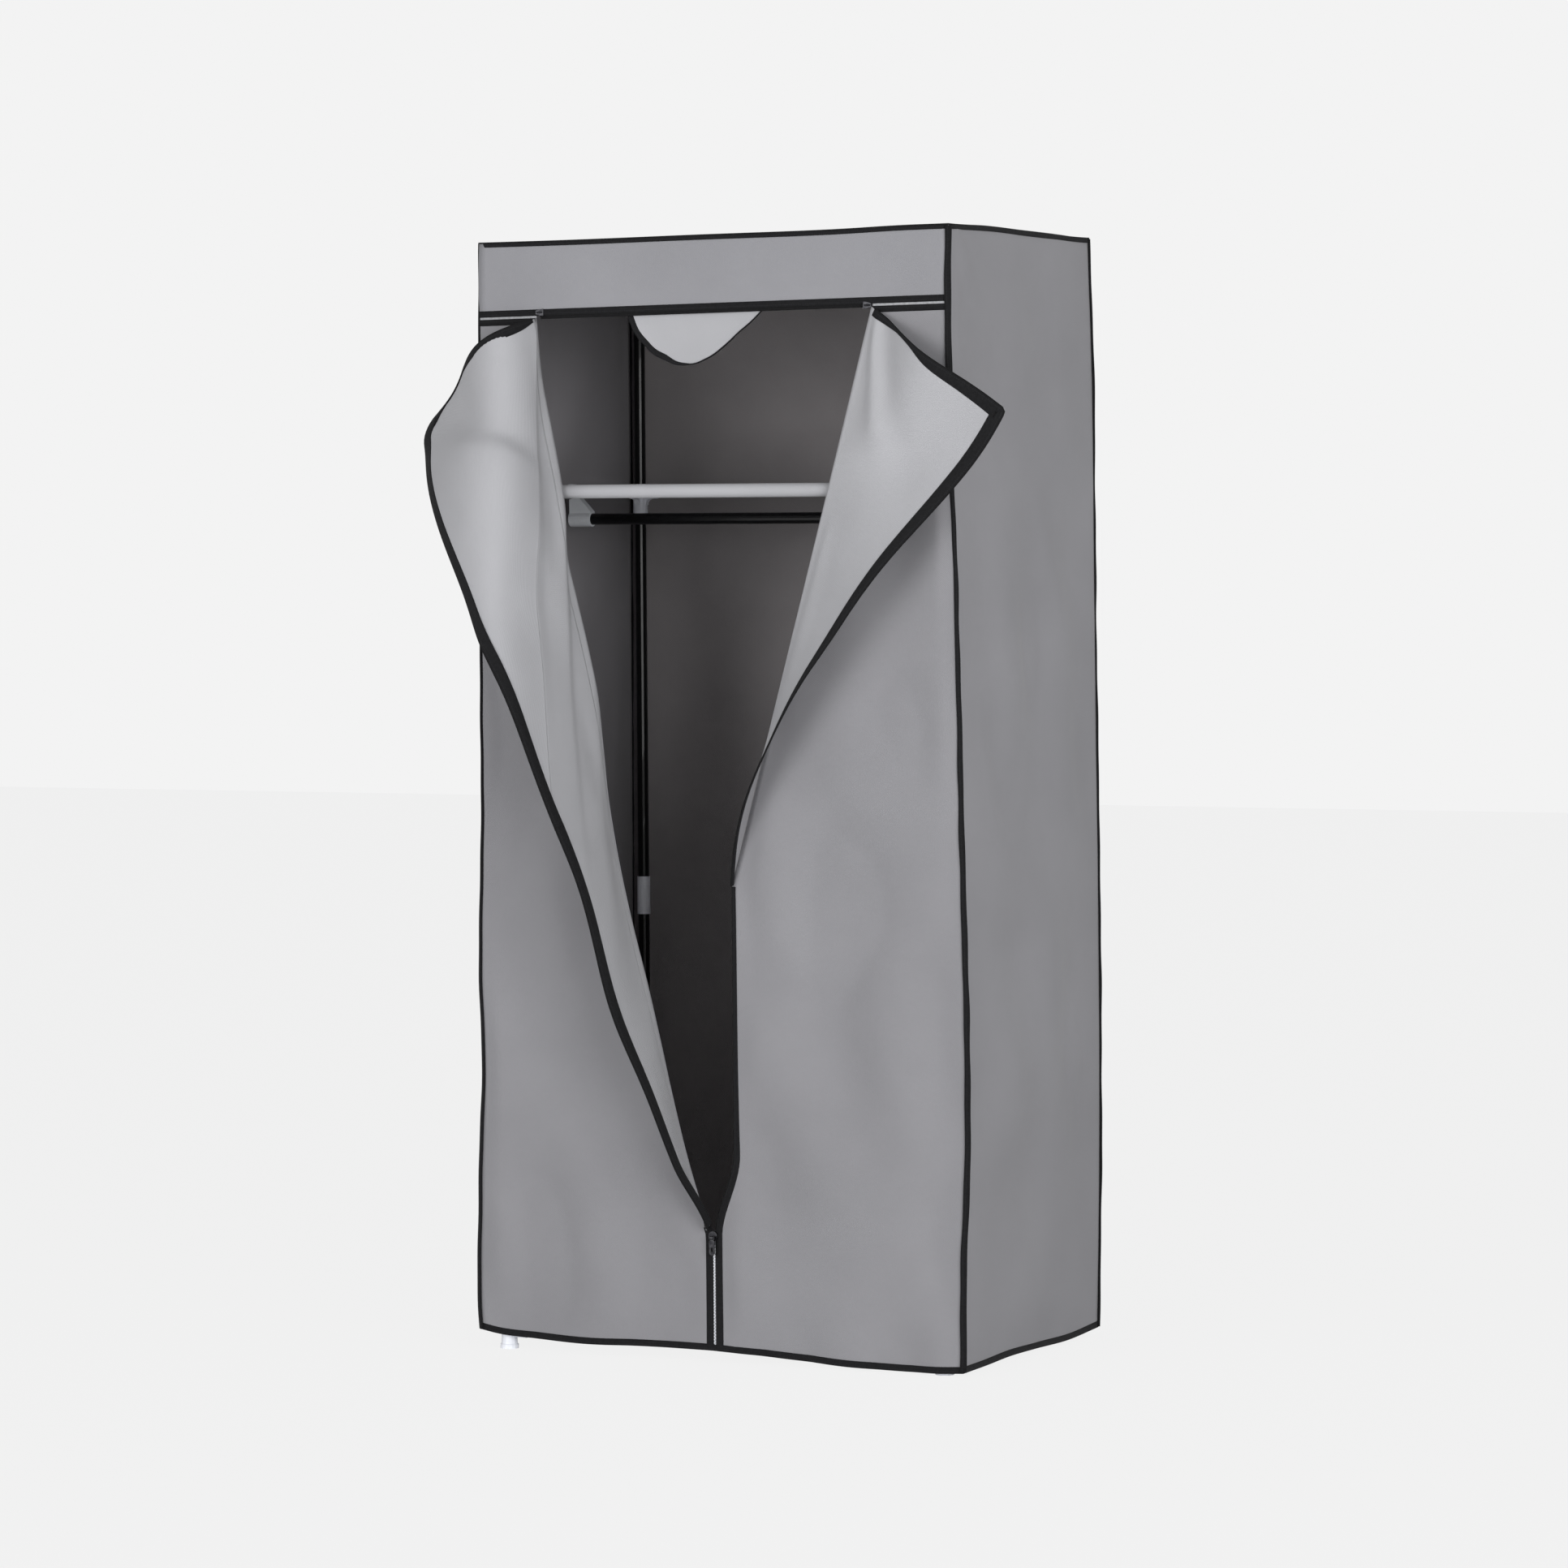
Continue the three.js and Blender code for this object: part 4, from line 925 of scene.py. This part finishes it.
class LeftDoor:
    """The left door as one sheet: a main part, and a top corner that bends back about the crease."""

    def __init__(self):
        fold = LEFT_FOLD
        self.chain = door_outline(fold, LEFT_DOOR_END, LEFT_CORNER_ROUND)
        self.cut = int(np.argmax(fold.closed(self.chain)[:, 2] < BEND_LOW_HEIGHT))
        plane = fold.across * math.cos(fold.angle) + FORWARD * math.sin(fold.angle)
        self.crease_point = fold.top + fold.up * CREASE_RISE
        self.crease = plane * math.sin(CREASE_SLANT) - fold.up * math.cos(CREASE_SLANT)
        self.start = fold.open(np.array((0.0, 0.0)))
        bend_end = self.chain[self.cut]
        run = unit(bend_end)
        beside = fold.up * run[1] + plane * run[0]
        along = unit(fold.open(bend_end) - self.start)
        middle = unit(beside + turned(beside, self.crease, CORNER_ANGLE))
        self.direction = unit(middle - along * (middle @ along))
        self.moves = None
        self.moves = self.edge_moves()

    def corner_turn(self, flat_open):
        """Share of the corner's turn at each point, such that the closed door comes out flat."""
        low = np.zeros(flat_open.shape[:-1])
        high = np.ones_like(low)
        offset = flat_open - self.crease_point
        for _ in range(24):
            w = (low + high) / 2
            place = turned(offset, self.crease, w * CORNER_ANGLE) + self.crease_point
            reached = eased(((place - self.start) @ self.direction) / BEND_LENGTH)
            low = np.where(reached > w, w, low)
            high = np.where(reached > w, high, w)
        return (low + high) / 2

    def place(self, flat, bent):
        """Open place and normal of points of the closed door."""
        points, normals = LEFT_FOLD.open(flat), LEFT_FOLD.normal(flat)
        if bent:
            angle = self.corner_turn(points) * CORNER_ANGLE
            points = turned(points - self.crease_point, self.crease, angle) + self.crease_point
            normals = turned(normals, self.crease, angle)
        points = points + LEFT_FOLD.leaning(flat)
        if self.moves is not None:
            side_edge = self.chain[self.cut:]
            points = points + normals * pull_field(flat, self.chain, self.moves, side_edge, LEFT_SPREAD)
            soft = eased(flat[..., 1] / 26)
            folds = 1.6 * ripple(flat[..., 1], flat[..., 0] * 0.45, 170, 41) + creases(flat, LEFT_CREASES)
            points = points + normals * (soft * folds)[..., None]
        return points, normals

    def edge_moves(self):
        corner, lower = self.place(self.chain[:self.cut], True), self.place(self.chain[self.cut:], False)
        points, normals = np.concatenate((corner, lower), axis=1)
        return pull_to(points, normals, LEFT_EDGE_PIXELS, LEFT_PULL)

    def main(self, u):
        """The part below the corner seam, at shares of the way from the fold to the zip."""
        points, _ = self.place(door_flat(self.chain[self.cut:], u), False)
        down = np.linspace(0, self.chain[-1, 0], len(u))
        bow = left_bow(LEFT_FOLD.top[2] - down * LEFT_FOLD.up[2])[:, None] * (1 - u) ** 1.5
        return points - bow[..., None] * (1, 0, 0)

    def corner_grid(self):
        outer = resample(self.chain[TOP_POINTS - 1:self.cut + 1], 110)
        u = np.linspace(0.012, 1, 48)[None, :, None]
        return self.place(outer[:, None] * u, True)[0]

    def blend_corner(self, piece):
        blend_between(piece)


def blend_strip(piece):
    """Cloth at the left fold: its place is baked into its mesh."""
    blend_between(piece)


# Widths of the binding by height, and along the top edges from the fold to the corner
LEFT_TAPE = [(180, 17), (700, 17), (1000, 16), (1441, 16)]
LEFT_TOP_TAPE = [
    (0, 5), (0.07, 9), (0.2, 12.5), (0.34, 13), (0.52, 7), (0.62, 2.5), (0.86, 2.5), (0.97, 9), (1, 13),
]
RIGHT_TAPE = [
    (650, 5), (760, 5.5), (860, 6.5), (910, 8), (960, 11.5), (1005, 14), (1077, 17), (1138, 17.5),
    (1265, 19.5), (1441, 20),
]
RIGHT_TOP_TAPE = [(0, 10), (0.12, 8), (0.24, 4), (0.36, 5), (0.52, 13), (0.75, 17), (1, 20)]


def add_door_edge(name, edge, inner, width, blend, thickness=BINDING_THICK):
    binding = bind_edge(f"{name}_binding", edge, inner, width, thickness=thickness)
    zip_tape = bind_edge(f"{name}_zip_tape", edge, inner, ZIP_TAPE_WIDTH, PAINTED_SHADE_ZIP_TAPE, ZIP_TAPE_THICK,
                         ZIP_TAPE_OVERHANG)
    for piece, kind in ((binding, "binding"), (zip_tape, "zip_tape")):
        blend(piece)
    return [binding, zip_tape]


def free_edge(grid, first, top_widths, side_widths, heights):
    """Edge of a door from the fold round its corner, a line just inside it, and the binding's widths."""
    edge = np.concatenate((grid[0, first:-1], grid[:, -1]))
    inner = np.concatenate((grid[3, first:-1], grid[:, -3]))
    along = np.linspace(0, 1, grid.shape[1] - 1 - first)
    return edge, inner, np.concatenate((through(top_widths, along), through(side_widths, heights)))


def add_door_sheet(part, grid, outer, inner, blend, node):
    piece = add_sheet(f"{part}_cloth", grid, outer, inner)
    blend(piece)
    if node:
        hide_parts(node)


def crossing(values, level):
    """Share of the way along each row where the values first pass a level, or 1 where they never do."""
    reached = values > level
    at = np.maximum(np.argmax(reached, axis=1), 1)
    index = np.arange(len(values))
    before, after = values[index, at - 1], values[index, at]
    share = (at - 1 + (level - before) / np.maximum(after - before, 1e-6)) / (values.shape[1] - 1)
    return np.where(reached.any(axis=1), np.clip(share, 0, 1), 1.0)


def add_left_door():
    door = LeftDoor()
    rows = 150
    fine = np.linspace(0, 1, 240) + np.zeros((rows, 1))
    share = crossing(FOLD_Y - door.main(fine)[..., 1], STRIP_REACH)[:, None]
    strip = door.main(share * np.linspace(0, 1, 8)[None, :])
    whole = share[:, 0] < 0.97
    last = rows if whole.all() else int(np.argmin(whole))
    main = door.main(share + (1 - share) * np.linspace(0, 1, 44)[None, :])[:last]
    corner = door.corner_grid()
    width = through(LEFT_TAPE, LEFT_FOLD.closed(resample(door.chain[door.cut:], rows))[:, 2])
    going = add_door_edge("left_door", main[:, -1], main[:, -3], width[:last], LEFT_FOLD.blend)
    low_edge = door.main(np.ones((rows, 1)))[last - 2:, 0]
    low_inner = door.main(np.full((rows, 1), 0.6))[last - 2:, 0]
    going_low = add_door_edge("left_door_end", low_edge, low_inner, width[last - 2:], blend_strip)
    heights = np.linspace(DOOR_TOP, BEND_LOW_HEIGHT, len(corner))
    top_edge = free_edge(corner, 1, LEFT_TOP_TAPE, LEFT_TAPE, heights)
    going_top = add_door_edge("left_door_corner", *top_edge, door.blend_corner, SEAM_THICK)
    for part, grid, blend, flat, node, kept in (
        ("left_door", main, LEFT_FOLD.blend, (0.19, 1.26), "left_door_flap", going),
        ("left_door_fold", strip, blend_strip, (0.028, 1.26), None, going_low),
        ("left_door_corner", corner, door.blend_corner, (0.30, 0.72), "left_door_corner", going_top),
    ):
        add_door_sheet(part, grid, LINING, COVER, blend, node)


def drooped(flat):
    """The right door's free corner sags and stretches a little out of its cut shape."""
    down, across = flat[..., 0], flat[..., 1]
    share = eased(across / 240) * eased((330 - down) / 330)
    sag = 12.0 * np.sin(math.pi * np.clip(across / 230, 0, 1)) * eased((200 - down) / 200)
    return flat + share[..., None] * (12.0, 14.0) + sag[..., None] * (1.0, 0.0)


def add_right_door():
    fold = RIGHT_FOLD
    chain = drooped(door_outline(fold, RIGHT_FOLD_LOW_HEIGHT + 3, RIGHT_CORNER_ROUND))
    moves = pull_to(fold.open(chain), fold.normal(chain), RIGHT_EDGE_PIXELS, RIGHT_PULL)
    side_edge = chain[TOP_POINTS - 1:]
    flat = door_flat(side_edge, np.linspace(0, 1, 60) + np.zeros((130, 1)))
    normals = fold.normal(flat)
    grid = fold.open(flat) + normals * pull_field(flat, chain, moves, side_edge, RIGHT_SPREAD)
    soft = eased(flat[..., 1] / 24)
    folds = 1.4 * ripple(flat[..., 1], flat[..., 0] * 0.5, 190, 47) - creases(flat, RIGHT_CREASES)
    grid = grid + normals * (soft * folds)[..., None] + fold.leaning(flat)
    edge = free_edge(grid, 2, RIGHT_TOP_TAPE, RIGHT_TAPE, fold.closed(flat)[:, -1, 2])
    going = add_door_edge("right_door", *edge, fold.blend)
    add_door_sheet("right_door", grid, COVER, LINING, fold.blend, "right_door_flap")


# Bindings of the cover: widths by height of the corner seams and of the zip's right edge
SEAM_WIDTH = [(5, 8), (600, 7), (1000, 5.4), (1150, 5), (1350, 8), (1551, 8)]
LEFT_SEAM_WIDTH = [(5, 8), (400, 6.8), (800, 4), (1380, 2.4), (1551, 0.6)]
RIGHT_ZIP_WIDTH = [(0, 11.5), (170, 11.5), (240, 11), (320, 9), (500, 7), (660, 6)]
LEFT_ZIP_WIDTH = 11
TOP_TAPE = 9.0
HEM_TAPE = 9.5


def bind_corner_seams():
    z = np.linspace(26, 1543, 150)
    wave = 0.9 * ripple(z, 0 * z, 130, 51)
    wide = through(SEAM_WIDTH, z) + 0.7 * ripple(z, 0 * z, 70, 52) + 1.2
    slim = through(LEFT_SEAM_WIDTH, z) + 1.2
    for name, points, y, side, low, top, width in (
        ("front_right", FRONT_RIGHT_X, FRONT_Y, 1, 6, 1550, wide),
        ("front_left", FRONT_LEFT_X, FRONT_Y, -1, 27, 1542, slim),
        ("rear_right", REAR_RIGHT_X, REAR_Y, 1, 13, 1547, wide),
        ("rear_left", REAR_LEFT_X, REAR_Y, -1, 13, 1543, wide),
    ):
        height = np.linspace(low, top, 150)
        path = together(through(points, height) + wave * 0.8 * side, y, height)
        back = 1 if y > 0 else -1
        across, out = unit((-back, side, 0)), unit((side, back, 0))
        ride_root(add_ribbon(f"{name}_corner_binding", path, across, out, width, SEAM_THICK, BLACK_TAPE))


def bind_top_edge(top):
    rim = rim_of(top)
    out = rim - rim.mean(axis=0)
    sideways = np.abs(out[:, :1]) * 0.64 > np.abs(out[:, 1:2])
    out = unit(np.where(sideways, out * (1, 0, 0), out * (0, 1, 0)))
    lowered = rim - 1.6 * UP
    ride_root(add_ribbon("top_edge_binding", lowered, UP, out, 7.6, 4.0, BLACK_TAPE, closed=True))


def bind_header(header):
    ride_root(bind_edge("header_binding", header[0], header[3], TOP_TAPE))
    over_door = (header[0, :, 0] > LEFT_FOLD_TOP[0] + 5) & (header[0, :, 0] < RIGHT_FOLD_TOP[0] - 8)
    hanging = header[0, over_door] - 2.4 * UP
    # Its near-black colour is painted shade, for the shaded underside of the header
    piece = add_ribbon("header_zip_tape", hanging, UP, FORWARD, 6.4, ZIP_TAPE_THICK, PAINTED_SHADE_ZIP_TAPE)
    ride_root(piece)


def add_bindings(panels, walls):
    left, right = panels["left"], panels["right"]
    bind_corner_seams()
    bind_top_edge(walls["top"])
    bind_header(walls["header"])
    for side, grid in panels.items():
        ride_root(bind_edge(f"{side}_panel_top_binding", grid[-1], grid[-3], TOP_TAPE))
    hem, inner = (np.concatenate((left[k], right[k, 4:])) for k in (0, 2))
    ride_root(bind_edge("front_hem_binding", hem, inner, HEM_TAPE))
    for side in ("right", "left", "back"):
        grid = walls[side]
        ride_root(bind_edge(f"cover_{side}_hem_binding", grid[0], grid[2], HEM_TAPE))
    below = left[:, -1, 2] < LEFT_DOOR_END + 14
    ride_root(bind_edge("left_zip_binding", left[below, -1], left[below, -3], LEFT_ZIP_WIDTH))
    below = right[:, 0, 2] < RIGHT_FOLD_LOW_HEIGHT + 10
    width = through(RIGHT_ZIP_WIDTH, right[below, 0, 2])
    ride_root(bind_edge("right_zip_binding", right[below, 0], right[below, 2], width))
    gap = STRIP_TOP - DOOR_TOP
    for side, grid in panels.items():
        path = grid[-1] + (gap / 2 - 0.5) * UP
        piece = add_ribbon(f"{side}_zip_strip", path, UP, FORWARD, gap + 3, 0.9, ZIP_TAPE)
        ride_root(piece)


# Tab of lining that hangs behind the header: its outline in the photograph, in its own pixels
TAB_PIXELS = [
    (771, 376), (774, 390), (783, 412), (803, 436), (832, 450), (857, 449), (880, 438), (897, 423),
    (910, 409), (925, 397), (940, 382), (946, 374),
]
TAB_Y = -223.6
TAB_HIGH = 1466


def add_header_tab():
    count = 70
    outline = np.array([on_plane(pixel, TAB_Y) for pixel in TAB_PIXELS])
    edge = softened(resample(outline, count), 2)
    upper = edge.copy()
    upper[:, 2] = TAB_HIGH
    v = np.linspace(0, 1, 22)[:, None, None]
    grid = upper[None] * (1 - v) + edge[None] * v
    grid[..., 1] = TAB_Y + 2.0 * v[..., 0] * ripple(grid[..., 0], grid[..., 2], 90, 61)
    # The tab's front face takes the inner walls' painted shade
    piece = add_sheet("header_tab_cloth", grid, INNER_PAINTED_SHADE, LINING)
    width = np.interp(np.linspace(0, 1, count), (0, 0.35, 0.5, 1), (8.5, 8.5, 2, 1.6))
    binding = ride_root(bind_edge("header_tab_binding", grid[-1], grid[-3], width, thickness=2.0))
    finish_cloth(piece, "header_tab")
    for soft in (piece, binding):
        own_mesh(soft)


def add_shelf():
    """Shelf cloth between the front and the rear tube, and sewn round both of them."""
    radius = TUBE_RADIUS + SLEEVE_GAP
    half = FRAME_DEPTH / 2
    quarter = math.pi / 2

    def arc(middle, first, last):
        a = np.linspace(first, last, 26)
        return together(middle + radius * np.cos(a), radius * np.sin(a))

    share = np.linspace(0, 1, 30)[1:-1]
    between = together(-half + 2 * half * share, radius - SHELF_SAG * np.sin(math.pi * share))
    front, rear = arc(-half, -0.25, -3 * quarter), arc(half, quarter, -math.pi + 0.25)
    y, z = np.concatenate((front, between, rear)).T
    x = np.linspace(-SHELF_HALF_WIDTH, SHELF_HALF_WIDTH, 30)[:, None]
    grid = together(x, y, SHELF_HEIGHT + z)
    piece = add_sheet("shelf_cloth_sheet", grid, LINING, LINING)
    finish_cloth(piece,
                 "shelf_cloth")


# Teeth of the closed length of the centre zip
TOOTH_PITCH = 2.2
TEETH_LOW = 18.0
TEETH_HIGH = 166.0
TOOTH_HALF = (1.05, 0.7, 0.7)
TOOTH_TAPER = 0.7
TOOTH_OFFSET = 0.55
TOOTH_FACES = ((0, 1, 3, 2), (4, 6, 7, 5), (0, 4, 5, 1), (2, 3, 7, 6), (0, 2, 6, 4), (1, 5, 7, 3))


def add_zip_teeth():
    points, faces = [], []
    for i in range(int((TEETH_HIGH - TEETH_LOW) / TOOTH_PITCH)):
        side = 1 if i % 2 else -1
        centre = np.array((ZIP_X + side * TOOTH_OFFSET, FRONT_Y - 0.5, TEETH_LOW + i * TOOTH_PITCH))
        faces += [tuple(len(points) + k for k in face) for face in TOOTH_FACES]
        for dx, dy, dz in itertools.product((-1, 1), repeat=3):
            taper = TOOTH_TAPER if dy < 0 else 1.0
            points.append(centre + np.array((dx * taper, dy, dz * taper)) * TOOTH_HALF)
    uv = np.array(points)[:, (0, 2)] * MM
    flat = [0] * len(faces)
    ride_root(add_mesh("centre_zip_teeth", points, faces, flat, flat, (MOULDED,), uv))


# Finishes of the rigid parts, which keep the CAD model's shapes, by words in their names
FINISHES = (
    (("tube", "upright", "hanging_rail"), ENAMEL),
    (("bracket",), BRACKET),
    (("foot", "connector", "sleeve"), MOULDED),
    (("slider", "pull_tab"), ZIP_METAL),
    (("zip_chain",), ZIP_TAPE),
)


def dress_nodes():
    for name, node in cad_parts.items():
        fitting = [material for words, material in FINISHES if any(word in name for word in words)]
        if fitting:
            node.data.materials.clear()
            node.data.materials.append(fitting[0])


add_camera()
add_world()
add_floor()
add_lamp("key", place=(-1.5, -5.6, 1.3), target=(0, 0, 0.8), size=3.4, power=160)
add_lamp("fill", place=(4.4, -3.5, 1.3), target=(0, 0, 0.7), size=3.0, power=190)
dress_nodes()
front_panels = add_front_panels()
cover_walls = add_walls()
add_left_door()
add_right_door()
add_bindings(front_panels, cover_walls)
add_header_tab()
add_shelf()
add_zip_teeth()
